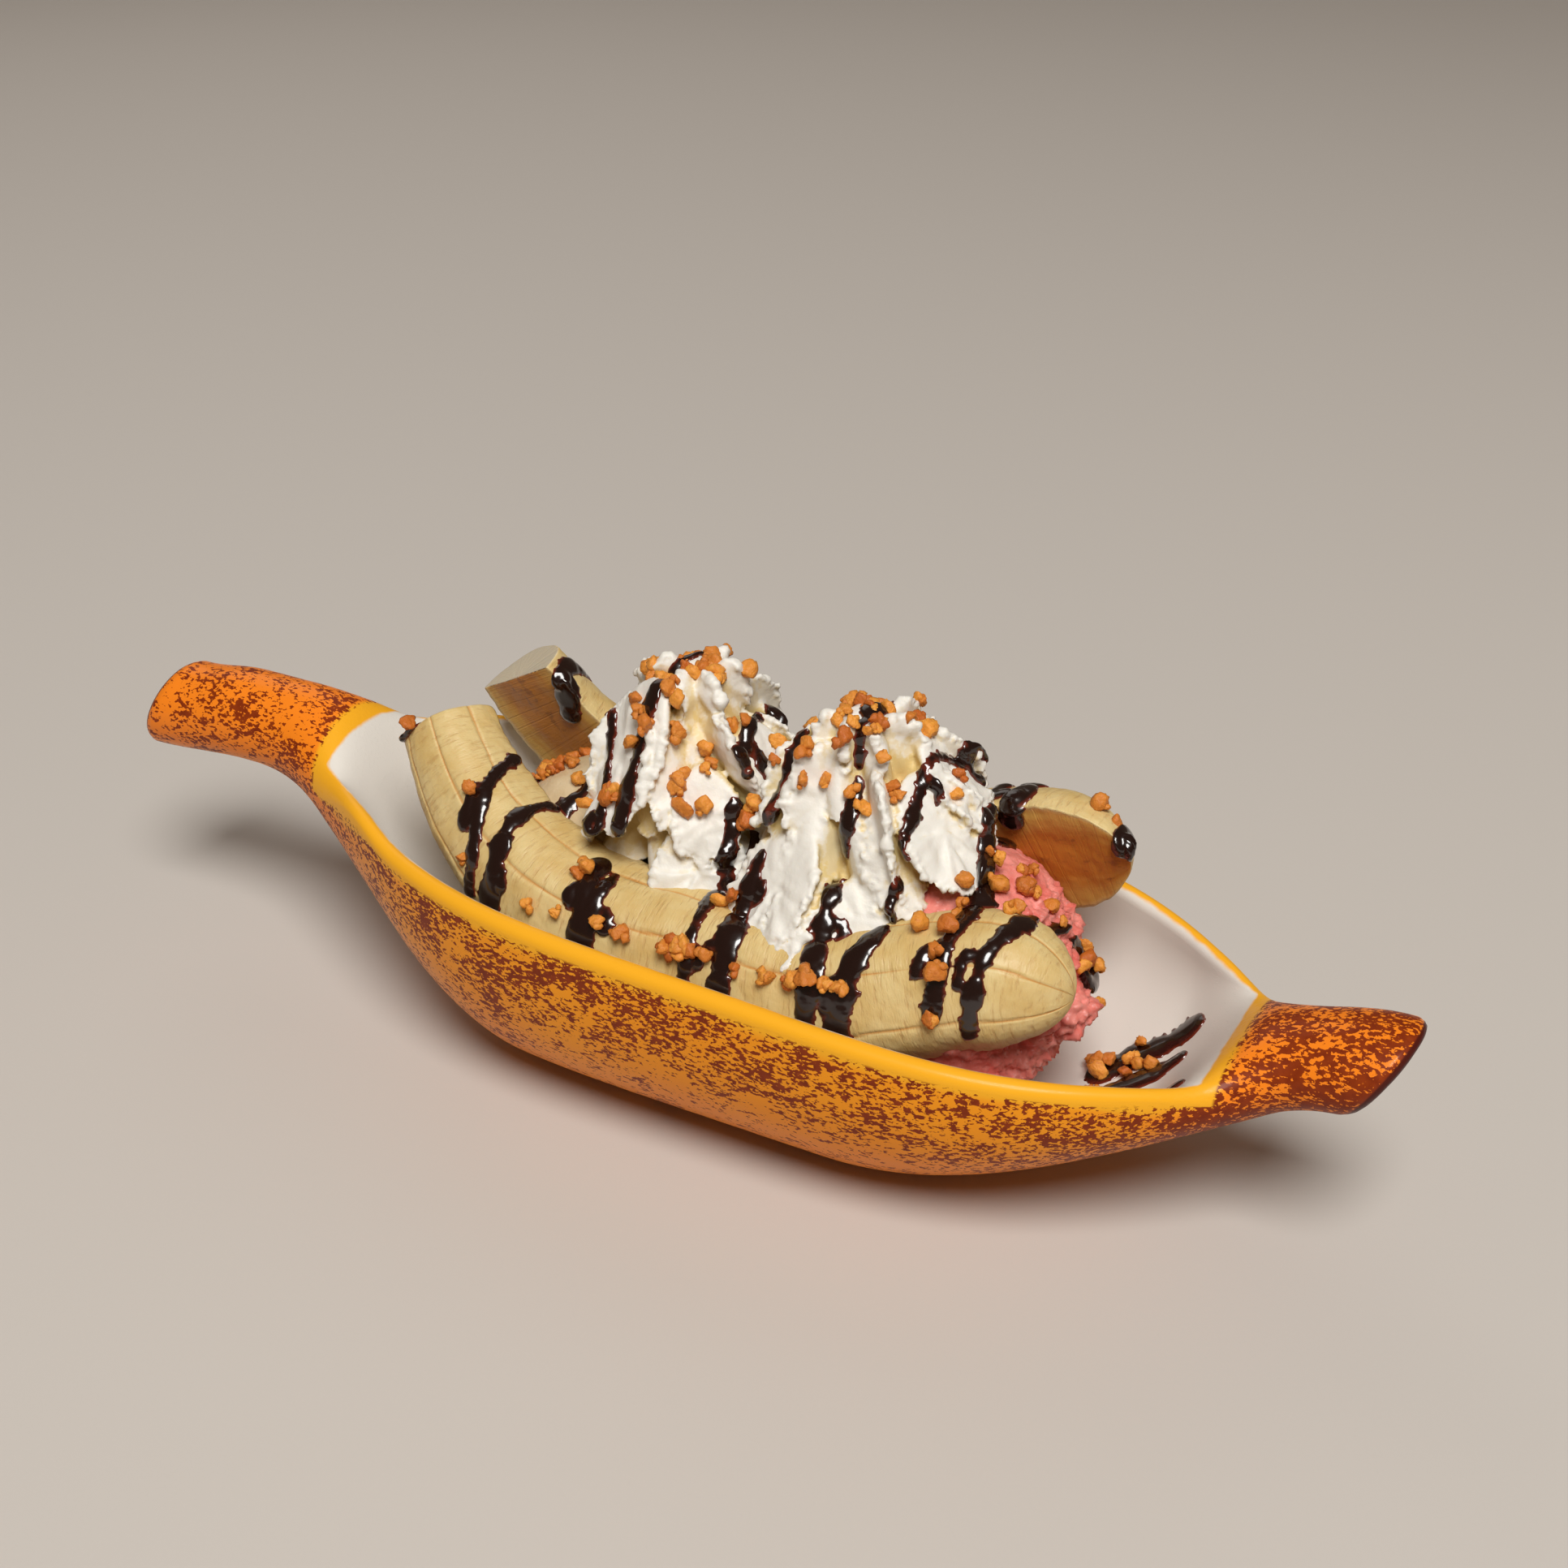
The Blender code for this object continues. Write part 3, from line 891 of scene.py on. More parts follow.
def make_banana(name, node, plane, bend, widths, finish):
    rows = banana_rows(bend, widths)
    length = rows[-1][0]
    rings = [
        banana_ring(plane, rows, 0.25 * (share - 1) ** 2, share, ease(1.0, 0.97, share))
        for share in BANANA_END_SHARES
    ]
    for k in range(BANANA_STATIONS + 1):
        f = k / BANANA_STATIONS
        s = length * mix(f, math.sin(math.pi / 2 * f), 0.5)
        into_tip = max(s - length + TIP_ROUNDING, 0) / TIP_ROUNDING
        share = math.sqrt(max(1 - 0.995 * into_tip**2.2, 0.002))
        rings.append(banana_ring(plane, rows, s + 0.3 * (1 - f), share, 0.0))
    count = len(rings[0])
    layers = ("along", "round", "across", "line", "cut_face", "end")
    bm = sheet(count, len(rings) - 1, lambda i, j: rings[j][i % count], layers)
    close(bm)
    return add_piece(name, bm, finish, "banana_flesh", node)


# --- Ice cream ---------------------------------------------------------------


def make_scoop(name, node, finish, slot, forms, torn=()):
    """A ball of ice cream; torn adds broken lumps: place and radius in mm. The
    surface is rougher on the side that has them."""
    middle, half_sizes = SCOOPS[node]
    bm = bmesh.new()
    bmesh.ops.create_icosphere(bm, subdivisions=6, radius=1)
    for vert in bm.verts:
        vert.co = (Vector(a * b for a, b in zip(vert.co, half_sizes)) + Vector(middle)) * MM
    if torn:
        for place, radius in torn:
            made = bmesh.ops.create_icosphere(bm, subdivisions=3, radius=radius * MM)
            bmesh.ops.translate(bm, verts=made["verts"], vec=Vector(place) * MM)
        bm = fused(bm, 0.6, 1)
    bm.normal_update()
    torn_from = middle[0] + TORN_SHARE * half_sizes[0]

    def strength(place):
        torn_side = ease(torn_from, torn_from + TORN_FADE, place.x) if torn else 0
        return mix(*ROUGHNESS_RANGE, torn_side)

    crumple(bm, forms, strength)
    return add_piece(name, bm, finish, slot, node)


def torn_lumps():
    """Places and radii of the lumps on the torn side of the strawberry scoop."""
    rng = random.Random(TORN_SEED)
    middle, half_sizes = SCOOPS["scoop_strawberry"]
    lumps = []
    for _ in range(TORN_LUMPS):
        turn = math.radians(rng.uniform(*TORN_TURNS))
        place = Vector(middle) + polar(turn, half_sizes[0] - 1, rng.uniform(*TORN_HEIGHTS))
        lumps.append((place, rng.uniform(*TORN_RADII)))
    return lumps


# --- Cream -------------------------------------------------------------------


def add_form(bm, form):
    """Copies the faces of form into bm."""
    mesh = bpy.data.meshes.new("form")
    form.to_mesh(mesh)
    form.free()
    bm.from_mesh(mesh)
    bpy.data.meshes.remove(mesh)


def cream_layer(centre, top, lip, radius, fins, depth, turn, lean, crest):
    """A bell with fins and a lip that hangs. The lip's points go to crest."""
    columns, rows, outer = 168, 30, 22

    def place(i, j):
        base = 2 * math.pi * (i % columns) / columns
        ridge = abs(math.cos(fins * base / 2)) ** 0.8
        q = min(j / outer, 1)
        droop = 2.5 * ridge + 2.2 * noise.noise(polar(base, 3, top))
        low = lip - droop
        z = mix(top, low, q**1.5)
        reach = radius * (0.12 + 0.88 * q**0.8) * (1 - depth * (1 - ridge) * (0.5 + 0.5 * q))
        if j > outer:
            under = (j - outer) / (rows - outer)
            reach = mix(reach, 0.3 * radius, under)
            z = low + 4.0 * under
        angle = base + math.radians(turn + lean * (top - z))
        spot = centre + polar(angle, reach, z)
        if j == outer:
            crest.append(spot)
        return (spot,)

    bm = sheet(columns, rows, place)
    close(bm)
    return bm


def cream_fin(centre, azimuth, z, reach, height, droop, lean, curl, crest):
    """A thick leaf that stands out from the middle of the rosette."""
    bm = bmesh.new()
    bmesh.ops.create_icosphere(bm, subdivisions=5, radius=1)
    for vert in bm.verts:
        out, thick, up = vert.co
        q = (out + 1) / 2
        edge = math.hypot(out, up)
        rim = math.atan2(up, out)
        coarse = 0.1 * noise.noise(Vector((rim * 3, azimuth, z)))
        fine = 0.05 * noise.noise(Vector((rim * 9, azimuth, z)))
        ragged = 1 + (coarse + fine) * q
        rise = z + height / 2 * up * (0.8 + 0.3 * q) * ragged - droop * q * q
        wave = 1.5 * noise.noise(Vector((up * 1.8, q * 2, azimuth)))
        side = thick * mix(4.2, 1.5, q**0.7) + (curl * q * q + wave * q) * (1 - 0.3 * up * up)
        angle = math.radians(azimuth - lean * up / 2)
        radial = polar(angle, 1, 0)
        along_side = Vector((-radial.y, radial.x, 0))
        spot = centre + radial * mix(2, reach * ragged, q) + along_side * side
        spot += Vector((0, 0, rise))
        if edge > 0.97 and q > 0.5:
            crest.append(spot)
        vert.co = spot * MM
    return bm


def cream_flap(centre, azimuth, top, lip, inner, outer, width, curl, crest):
    """A sheet that hangs round the rosette and flares out to a ragged lip."""
    bm = bmesh.new()
    bmesh.ops.create_icosphere(bm, subdivisions=5, radius=1)
    for vert in bm.verts:
        side, thick, up = vert.co
        q = (1 - up) / 2
        rim = math.atan2(side, -up)
        ragged = 2.2 * noise.noise(Vector((rim * 3, azimuth, lip)))
        ragged += 1.3 * noise.noise(Vector((rim * 8, azimuth, lip)))
        out = mix(inner, outer, q**1.35) + curl * side * side + ragged * 0.5 * q
        out += 2.2 * noise.noise(Vector((side * 2.6, q * 1.5, azimuth))) * q
        out += thick * mix(3.4, 1.3, q)
        across = side * width / 2 * mix(0.62, 1.0, q**0.6)
        radial = polar(math.radians(azimuth), 1, 0)
        tangent = Vector((-radial.y, radial.x, 0))
        spot = centre + radial * (out - across * across / (3.2 * outer)) + tangent * across
        spot.z = mix(top, lip, q) + ragged * q
        if math.hypot(side, up) > 0.975 and up < 0.5:
            crest.append(spot)
        vert.co = spot * MM
    return bm


def shade_crevices(bm, layer, reach):
    """Stores on each vertex how much of its surroundings, up to reach in mm, is
    closed in."""
    tree = BVHTree.FromBMesh(bm)
    spread = []
    for k in range(10):
        height = 0.25 + 0.7 * k / 9
        spread.append(polar(k * 2.4, math.sqrt(1 - height * height), height))
    for vert in bm.verts:
        turn = vert.normal.to_track_quat("Z", "Y")
        start = vert.co + vert.normal * 0.3 * MM
        closed = sum(tree.ray_cast(start, turn @ ray, reach * MM)[0] is not None for ray in spread)
        vert[layer] = closed / len(spread)


def make_cream(side, finish, node):
    (x, y), base, top = ROSETTES[side]
    centre = Vector((x, y, 0))
    crest = []
    bm = bmesh.new()
    for row in LAYERS[side]:
        add_form(bm, cream_layer(centre, *row, crest))
    for row in FINS[side]:
        add_form(bm, cream_fin(centre, *row, crest))
    for row in FLAPS[side]:
        add_form(bm, cream_flap(centre, *row, crest))
    bm = fused(bm, 0.52, 2)
    tree = KDTree(len(crest))
    for k, spot in enumerate(crest):
        tree.insert(spot, k)
    tree.balance()
    layer = bm.verts.layers.float.new("crevice_shade")
    bm.verts.ensure_lookup_table()
    for vert in bm.verts:
        place = vert.co / MM
        gap = tree.find(place)[2]
        near = ease(2.0, 0.3, gap)
        lumps = noise.noise(place / 1.9) * 0.8 + noise.noise(place / 0.95) * 0.6
        torn = max(noise.noise(place / 3.2 + Vector((9, 4, 1))), 0) * 1.1
        soft = noise.noise(place / 6) * 0.5 + noise.noise(place / 1.4) * 0.07
        lift = near * (lumps + torn + 0.1) + soft
        vert.co += vert.normal * lift * MM
        vert.co.z = min(max(vert.co.z, base * MM), (top + 0.4) * MM)
    bm.normal_update()
    # How closed in each place is, for the painted shade in the cream's crevices.
    shade_crevices(bm, layer, 12)
    return add_piece("cream_rosette_" + side, bm, finish, "whipped_cream", node)


# --- Sauce and crunch --------------------------------------------------------


def smooth_path(points, step):
    """Places every step or so along a smooth curve, with the share of the way."""
    ends = [points[0], *points, points[-1]]
    path = []
    for k in range(1, len(ends) - 2):
        a, b, c, d = ends[k - 1 : k + 3]
        count = max(round((c - b).length / step), 1)
        for j in range(count):
            f = j / count
            straight = b * 2 + (c - a) * f
            bent = (a * 2 - b * 5 + c * 4 - d) * f**2
            path.append((straight + bent + (b * 3 - a - c * 3 + d) * f**3) / 2)
    path.append(points[-1])
    return [(spot, k / (len(path) - 1)) for k, spot in enumerate(path)]


class Surfaces:
    """Everything that a topping can lie on."""

    def __init__(self, *names):
        bm = bmesh.new()
        self.owners = []
        for name in names:
            bm.from_mesh(bpy.data.objects[name].data)
            self.owners.append((len(bm.faces), name))
        self.tree = BVHTree.FromBMesh(bm)
        bm.free()

    def nearest(self, place):
        """The nearest place on a surface, in millimetres, and its normal."""
        spot, normal, _, _ = self.tree.find_nearest(place * MM)
        return spot / MM, normal

    def under(self, x, y):
        """Where something that falls lands, and the piece, or None twice."""
        start = Vector((x, y, POUR_HEIGHT)) * MM
        spot, _, index, _ = self.tree.ray_cast(start, Vector((0, 0, -1)))
        if spot is None:
            return None, None
        return spot / MM, next(name for count, name in self.owners if index < count)

    def run(self, place, length):
        """The places along the way that sauce takes down a slope."""
        way = []
        for _ in range(round(length / RUN_STEP)):
            spot, normal = self.nearest(place)
            down = Vector((0, 0, -1)) + normal * normal.z
            if down.length < RUN_FLAT:
                break
            place = self.nearest(spot + down.normalized() * RUN_STEP)[0]
            way.append(place)
        return way


def add_blob(bm, place, normal, radius, height):
    made = bmesh.ops.create_icosphere(bm, subdivisions=2, radius=1)
    turn = normal.to_track_quat("Z", "Y")
    for vert in made["verts"]:
        x, y, z = vert.co
        vert.co = (place + turn @ Vector((x * radius, y * radius, z * height))) * MM


def add_strand(whole, surfaces, guides, first, last, drop, rng):
    """A strand through the guides, with its first and last width, a ragged
    outline and, if it ends in a drop, a blob."""
    bm = bmesh.new()
    phase = rng.uniform(0, 99)
    seats = [(*surfaces.nearest(spot), f) for spot, f in smooth_path(guides, 0.55)]
    for k, (spot, _, f) in enumerate(seats):
        around = seats[max(k - 3, 0) : k + 4]
        normal = sum((seat[1] for seat in around), Vector()).normalized()
        place = sum((seat[0] for seat in around), Vector()) / len(around)
        place = place.lerp(spot, 0.5)
        swell = 1.15 + 0.8 * noise.noise(Vector((k * 0.14, phase, 0)))
        swell += 0.4 * noise.noise(Vector((k * 0.5, phase, 9)))
        width = mix(first, last, f) * swell * mix(0.55, 1, ease(0, 5, k))
        height = min(max(0.24 * width, 0.5), 0.95)
        add_blob(bm, place + normal * 0.05, normal, width / 2, height)
        for _ in range(2):
            side = normal.cross(random_vector(rng, -1, 1))
            reach = width / 2 + rng.uniform(-0.5, 0.1)
            edge, facing = surfaces.nearest(place + side.normalized() * reach)
            add_blob(bm, edge, facing, rng.uniform(0.35, 0.9), 0.38)
    if drop:
        spot, normal, _ = seats[-1]
        add_blob(bm, spot + normal * 0.2, normal, last * 0.62, last * 0.34)
    add_form(whole, bm)


def pour_pass(surfaces, x, slant, rng):
    """Where one pass lands, as strands of places with the piece each lies on."""
    phase = rng.uniform(0, 99)
    front = RIM_CLEAR + WALL - dish_half_width(x)
    count = round((POUR_BACK - front) / POUR_STEP)
    strands = []
    last, last_owner = None, None
    for k in range(count + 1):
        f = k / count
        wander = PASS_WANDER * noise.noise(Vector((f * 3, phase, 0)))
        spot, owner = surfaces.under(x + slant * (f - 0.5) + wander, mix(POUR_BACK, front, f))
        apart = last is None or spot is None or (spot - last).length > FALL_BREAK
        if apart or owner != last_owner:
            strands.append((owner, []))
        if spot is not None:
            strands[-1][1].append(spot)
        last, last_owner = spot, owner
    return [strand for strand in strands if len(strand[1]) >= STRAND_LEAST]


def add_fork(bm, surfaces, places, rng):
    """A thin branch that leaves a strand past its middle and runs down."""
    root = places[rng.randrange(len(places) // 2, len(places) - 1)]
    aside = Vector((rng.choice((-1, 1)) * rng.uniform(*FORK_REACH), 0, 0))
    way = surfaces.run(root + aside, rng.uniform(*FORK_LENGTHS))
    if way:
        add_strand(bm, surfaces, [root, *way[::3]], *FORK_WIDTHS, False, rng)


def add_splash(bm, surfaces, middle, turn, start, length, rng):
    reach = [start + length * rng.uniform(0.8, 1.2) * f for f in SPLASH_SHARES]
    bend = [rng.uniform(-1.5, 1.5) for _ in reach]
    guides = []
    for out, aside in zip(reach, bend):
        place = middle + polar(turn, out, 0) + polar(turn + 1.57, aside, 0)
        guides.append(surfaces.under(place.x, place.y)[0])
    first, last = rng.uniform(*SPLASH_FIRST_WIDTHS), rng.uniform(*SPLASH_LAST_WIDTHS)
    add_strand(bm, surfaces, guides, first, last, False, rng)


def make_sauce(finish):
    surfaces = Surfaces(*FOOD, "dish_body")
    rng = random.Random(SAUCE_SEED)
    strands = []
    for k in range(PASSES):
        x = mix(*PASS_ENDS, k / (PASSES - 1)) + rng.uniform(-PASS_SHIFT, PASS_SHIFT)
        strands += pour_pass(surfaces, x, PASS_SLANT * (-1) ** k, rng)
    for name, (owners, widths, runs) in SAUCE.items():
        bm = bmesh.new()
        for owner, places in strands:
            if owner not in owners:
                continue
            way = surfaces.run(places[-1], rng.uniform(*runs))
            first, last = rng.uniform(*widths), rng.uniform(*widths)
            guides = [*places[::3], *way[::3]]
            add_strand(bm, surfaces, guides, first, last, rng.random() < 0.5, rng)
            if len(places) >= FORK_LEAST:
                add_fork(bm, surfaces, places, rng)
        add_sauce(name, bm, surfaces, finish)
    bm = bmesh.new()
    for scoop, first_turn, last_turn, count, start, length in SPLASHES:
        x, y, _ = SCOOPS[scoop][0]
        for k in range(count):
            turn = mix(first_turn, last_turn, k / max(count - 1, 1)) + rng.uniform(-4, 4)
            add_splash(bm, surfaces, Vector((x, y, 0)), math.radians(turn), start, length, rng)
    add_sauce("sauce_on_dish", bm, surfaces, finish)


def add_sauce(name, bm, surfaces, finish):
    """Melts the strands into one, and notes how thick the sauce is."""
    bm = fused(bm, SAUCE_VOXEL, 1)
    layer = bm.verts.layers.float.new("thick")
    for vert in bm.verts:
        place = vert.co / MM
        vert[layer] = (surfaces.nearest(place)[0] - place).length
    add_piece(name, bm, finish, "chocolate_sauce")


def add_crumb(whole, place, normal, size, rng):
    """An angular piece of crunch, of one to three lumps, size across in mm."""
    bm = bmesh.new()
    layer = bm.verts.layers.float.new("tone")
    tone = rng.random()
    for lump in range(rng.choice((1, 2, 2, 3))):
        seed = random_vector(rng, 0, 50)
        scale = [rng.uniform(0.75, 1.15) for _ in range(3)]
        radius = size / 2 * (1 if lump == 0 else rng.uniform(0.45, 0.7))
        beside = 0 if lump == 0 else size * 0.42
        shift = polar(rng.uniform(0, 6.3), beside, rng.uniform(-0.2, 0.4))
        shift = normal.to_track_quat("Z", "Y") @ shift
        sides = [
            Vector(rng.gauss(0, 1) for _ in range(3)).normalized() / rng.uniform(0.5, 0.85)
            for _ in range(CRUMB_SIDES)
        ]
        made = bmesh.ops.create_icosphere(bm, subdivisions=3 if lump == 0 else 2, radius=1)
        for vert in made["verts"]:
            way = vert.co.copy()
            grow = min(1.05 / max(way.dot(side), 0.95) for side in sides)
            grow += 0.14 * noise.noise(way * 2 + seed) + 0.16 * noise.noise(way * 4.5 + seed)
            spot = Vector(a * b for a, b in zip(way, scale)) * radius * grow
            vert.co = (place + shift + spot + normal * size * 0.26) * MM
            vert[layer] = tone
    add_form(whole, bm)


def make_crunch(finish):
    surfaces = Surfaces(*FOOD, "dish_body", *SAUCE, "sauce_on_dish")
    rng = random.Random(CRUNCH_SEED)
    bm = bmesh.new()
    bm.verts.layers.float.new("tone")
    for x, y, spread_x, spread_y, count in HEAPS:
        for _ in range(count):
            spot_x = min(max(rng.gauss(x, spread_x), STEM_HOLLOW[1]), TIP_HOLLOW[1])
            reach = dish_half_width(spot_x) - WALL - RIM_CLEAR
            spot_y = min(max(rng.gauss(y, spread_y), -reach), reach)
            place, _ = surfaces.under(spot_x, spot_y)
            place, normal = surfaces.nearest(place)
            place.z = min(place.z, CRUNCH_TOP)
            size = rng.uniform(*CRUMB_SIZES) + rng.random() ** 2 * CRUMB_EXTRA
            add_crumb(bm, place, normal, size, rng)
    add_piece("nut_crunch", bm, finish, "nut_crunch")


# --- Settings ----------------------------------------------------------------


def colour(name, description, default):
    return bpy.props.FloatVectorProperty(
        name=name, description=description, default=default, size=3, subtype="COLOR", min=0, max=1
    )


class DishSettings(bpy.types.PropertyGroup):
    glaze_body: colour("Body", "Glaze on the sides", (0.94, 0.34, 0.012))
    glaze_ends: colour("Ends", "Glaze on the stem and the tip", (0.94, 0.24, 0.015))
    glaze_low: colour("Low", "Glaze near the foot", (0.84, 0.24, 0.004))
    glaze_rim: colour("Rim", "Glaze on the rim", (0.92, 0.43, 0.02))
    glaze_white: colour("Inside", "Glaze in the bowl", (0.78, 0.74, 0.68))
    fleck_colour: colour("Flecks", "Sponged flecks", (0.14, 0.012, 0.002))
    fleck_thin: colour("Thin flecks", "Flecks where the colour is thin", (0.33, 0.05, 0.006))
    fleck_size: bpy.props.FloatProperty(
        name="Fleck size", description="Size of a fleck in millimetres", default=0.9, min=0.3, max=8
    )


class FruitSettings(bpy.types.PropertyGroup):
    flesh_pale: colour("Pale", "Outside of the flesh", (0.73, 0.56, 0.26))
    flesh_deep: colour("Deep", "Warmer patches of the outside", (0.64, 0.43, 0.15))
    flesh_dash: colour("Fibres", "Short fibres across the banana", (0.55, 0.33, 0.12))
    flesh_line: colour("Ridges", "Lines along the ridges", (0.6, 0.26, 0.05))
    # Cut face colours: the flesh's own colour, darkened to amber-brown as painted shade.
    cut_middle: colour("Core", "Middle of the cut face", (0.5, 0.19, 0.022))
    cut_edge: colour("Edge", "Edge of the cut face", (0.68, 0.43, 0.1))


class IceSettings(bpy.types.PropertyGroup):
    # Vanilla is the ice cream's own colour made darker and browner: painted shade, for the shadow
    # it lies in under the cream and the bananas.
    vanilla: colour("Vanilla", "Vanilla ice cream", (0.7, 0.55, 0.34))
    chocolate: colour("Chocolate", "Chocolate ice cream", (0.075, 0.022, 0.01))
    strawberry: colour("Strawberry", "Strawberry ice cream", (0.88, 0.3, 0.25))


class CreamSettings(bpy.types.PropertyGroup):
    cream_crest: colour("Crests", "Cream on the crests", (0.83, 0.8, 0.735))
    # Painted shade: the darker, yellower colour of the cream where it is closed in.
    cream_shade: colour("Valleys", "Cream in the valleys", (0.72, 0.55, 0.24))


class ToppingSettings(bpy.types.PropertyGroup):
    sauce_deep: colour("Sauce", "Sauce where it is thick", (0.012, 0.003, 0.002))
    sauce_edge: colour("Sauce edge", "Sauce where it is thin", (0.13, 0.016, 0.006))
    crunch_light: colour("Crunch", "Light pieces of the crunch", (0.83, 0.34, 0.05))
    crunch_dark: colour("Dark crunch", "Dark pieces of the crunch", (0.5, 0.12, 0.015))
    crunch_toast: colour("Toasted", "Toasted spots", (0.5, 0.13, 0.02))


class StageSettings(bpy.types.PropertyGroup):
    table: colour("Table", "Table top", (0.61, 0.57, 0.53))
    main_power: bpy.props.FloatProperty(
        name="Main light", description="Power of the main light", default=74.0, unit="POWER"
    )
    back_power: bpy.props.FloatProperty(
        name="Back light", description="Power of the back light", default=2.0, unit="POWER"
    )


# --- Operators ---------------------------------------------------------------


class MAKE_OT_dish(bpy.types.Operator):
    """Makes the dish"""

    bl_idname = "banana_split.dish"
    bl_label = "Dish"

    def execute(self, context):
        make_dish(context.scene.split_dish)
        return {"FINISHED"}


class MAKE_OT_bananas(bpy.types.Operator):
    """Makes the two halves of the banana"""

    bl_idname = "banana_split.bananas"
    bl_label = "Bananas"

    def execute(self, context):
        finish = flesh_finish(context.scene.split_fruit)
        front = (FRONT_PLANE, FRONT_BEND, FRONT_WIDTHS)
        back = (BACK_PLANE, BACK_BEND, BACK_WIDTHS)
        make_banana("banana_front_half", "banana_front", *front, finish)
        make_banana("banana_back_half", "banana_back", *back, finish)
        return {"FINISHED"}


class MAKE_OT_ice(bpy.types.Operator):
    """Makes the three scoops of ice cream"""

    bl_idname = "banana_split.ice"
    bl_label = "Ice cream"

    def execute(self, context):
        s = context.scene.split_ice
        forms = ((16, 1.3), (5, 0.6), (1.6, 0.3))
        # Both vanilla colours are darkened as painted shade.
        vanilla = ice_finish("vanilla_ice", s.vanilla, (0.62, 0.46, 0.26), 0.1)
        make_scoop("vanilla_scoop", "scoop_vanilla", vanilla, "vanilla_ice", forms)
        chocolate = ice_finish("chocolate_ice", s.chocolate, (0.05, 0.014, 0.007), 0.03)
        make_scoop("chocolate_scoop", "scoop_chocolate", chocolate, "chocolate_ice", forms)
        strawberry = ice_finish("strawberry_ice", s.strawberry, (0.7, 0.13, 0.1), 0.45)
        forms = ((14, 1.0), (4, 1.0), (1.7, 0.8), (0.9, 0.4))
        torn = torn_lumps()
        make_scoop(
            "strawberry_scoop", "scoop_strawberry", strawberry, "strawberry_ice", forms, torn
        )
        return {"FINISHED"}


class MAKE_OT_cream(bpy.types.Operator):
    """Makes the two rosettes of whipped cream"""

    bl_idname = "banana_split.cream"
    bl_label = "Whipped cream"

    def execute(self, context):
        finish = cream_finish(context.scene.split_cream)
        make_cream("left", finish, "cream_left")
        make_cream("right", finish, "cream_right")
        return {"FINISHED"}


class MAKE_OT_sauce(bpy.types.Operator):
    """Makes the strands of chocolate sauce"""

    bl_idname = "banana_split.sauce"
    bl_label = "Chocolate sauce"

    def execute(self, context):
        make_sauce(sauce_finish(context.scene.split_topping))
        return {"FINISHED"}


class MAKE_OT_crunch(bpy.types.Operator):
    """Makes the pieces of nut crunch"""

    bl_idname = "banana_split.crunch"
    bl_label = "Nut crunch"

    def execute(self, context):
        make_crunch(crunch_finish(context.scene.split_topping))
        return {"FINISHED"}


class MAKE_OT_stage(bpy.types.Operator):
    """Makes the table, the lights and the camera"""

    bl_idname = "banana_split.stage"
    bl_label = "Stage"

    def execute(self, context):
        s = context.scene.split_stage
        add_table(table_finish(s))
        add_light("main_light", s.main_power, *MAIN_LIGHT)
        add_light("back_light", s.back_power, *BACK_LIGHT)
        add_camera()
        world = bpy.data.worlds.new("room")
        world.use_nodes = True
        background = world.node_tree.nodes["Background"].inputs
        background["Color"].default_value = (*ROOM_COLOUR, 1)
        background["Strength"].default_value = ROOM_STRENGTH
        context.scene.world = world
        context.scene.view_settings.view_transform = "Standard"
        return {"FINISHED"}


def add_table(material):
    """A flat floor."""
    bm = bmesh.new()
    bmesh.ops.create_grid(bm, x_segments=2, y_segments=2, size=TABLE_REACH)
    table = add_mesh("table", bm, material)


def add_light(name, power, place, size, tint):
    lamp = bpy.data.lights.new(name, "AREA")
    lamp.shape = "DISK"
    lamp.size = size
    lamp.energy = power
    lamp.color = tint
    obj = bpy.data.objects.new(name, lamp)
    obj.location = place
    away = Vector(place) - Vector(LIT_PLACE)
    obj.rotation_euler = away.to_track_quat("Z", "Y").to_euler()
    bpy.context.scene.collection.objects.link(obj)


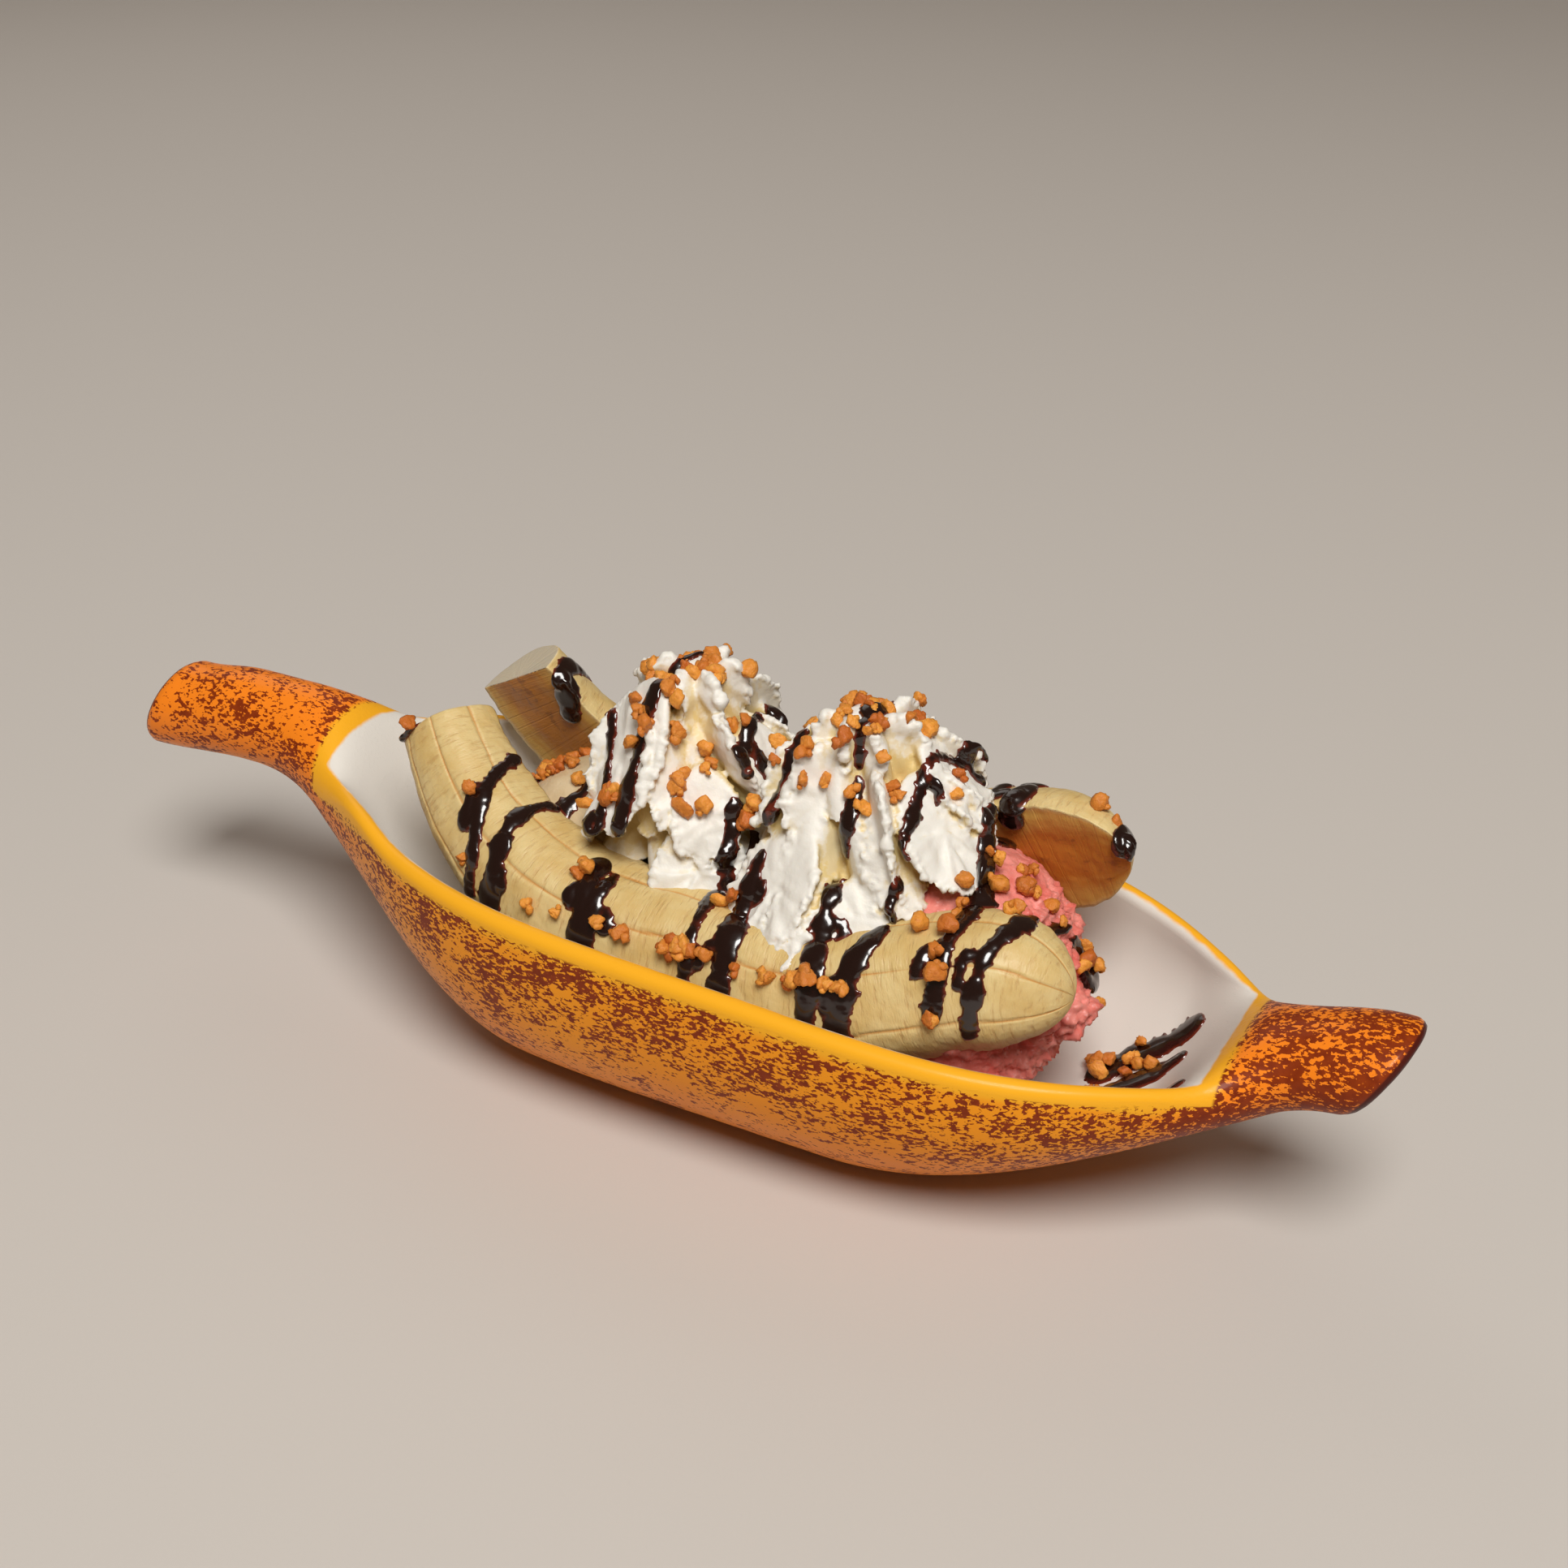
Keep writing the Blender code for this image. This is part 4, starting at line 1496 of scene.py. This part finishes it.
def add_camera():
    azimuth, elevation = math.radians(CAMERA_TURN), math.radians(CAMERA_HEIGHT)
    back = Vector(
        (
            math.sin(azimuth) * math.cos(elevation),
            -math.cos(azimuth) * math.cos(elevation),
            math.sin(elevation),
        )
    )
    right = Vector((math.cos(azimuth), math.sin(azimuth), 0))
    aside, up = CAMERA_SHIFT
    target = Vector(CAMERA_TARGET) + right * aside + back.cross(right) * up
    data = bpy.data.cameras.new("camera")
    data.lens = CAMERA_LENS
    data.sensor_width = 36
    data.clip_start = 0.01
    camera = bpy.data.objects.new("camera", data)
    camera.location = (target + back * CAMERA_DISTANCE) * MM
    camera.rotation_euler = back.to_track_quat("Z", "Y").to_euler()
    bpy.context.scene.collection.objects.link(camera)
    bpy.context.scene.camera = camera


class VIEW3D_PT_banana_split(bpy.types.Panel):
    """Lists the pieces of the banana split"""

    bl_label = "Banana split"
    bl_space_type = "VIEW_3D"
    bl_region_type = "UI"
    bl_category = "Banana split"

    def draw(self, context):
        for group, operators in STEPS:
            box = self.layout.box()
            settings = getattr(context.scene, group)
            for key in settings.__annotations__:
                box.prop(settings, key)
            for operator in operators:
                box.operator(operator.bl_idname)


STEPS = (
    ("split_stage", (MAKE_OT_stage,)),
    ("split_dish", (MAKE_OT_dish,)),
    ("split_fruit", (MAKE_OT_bananas,)),
    ("split_ice", (MAKE_OT_ice,)),
    ("split_cream", (MAKE_OT_cream,)),
    ("split_topping", (MAKE_OT_sauce, MAKE_OT_crunch)),
)
SETTINGS = {
    "split_stage": StageSettings,
    "split_dish": DishSettings,
    "split_fruit": FruitSettings,
    "split_ice": IceSettings,
    "split_cream": CreamSettings,
    "split_topping": ToppingSettings,
}


def register():
    for name, group in SETTINGS.items():
        bpy.utils.register_class(group)
        setattr(bpy.types.Scene, name, bpy.props.PointerProperty(type=group))
    for _, operators in STEPS:
        for operator in operators:
            bpy.utils.register_class(operator)
    bpy.utils.register_class(VIEW3D_PT_banana_split)


def unregister():
    bpy.utils.unregister_class(VIEW3D_PT_banana_split)
    for _, operators in STEPS:
        for operator in operators:
            bpy.utils.unregister_class(operator)
    for name, group in SETTINGS.items():
        delattr(bpy.types.Scene, name)
        bpy.utils.unregister_class(group)


def main():
    register()
    for _, operators in STEPS:
        for operator in operators:
            group, name = operator.bl_idname.split(".")
            getattr(getattr(bpy.ops, group), name)()


if __name__ == "__main__":
    main()
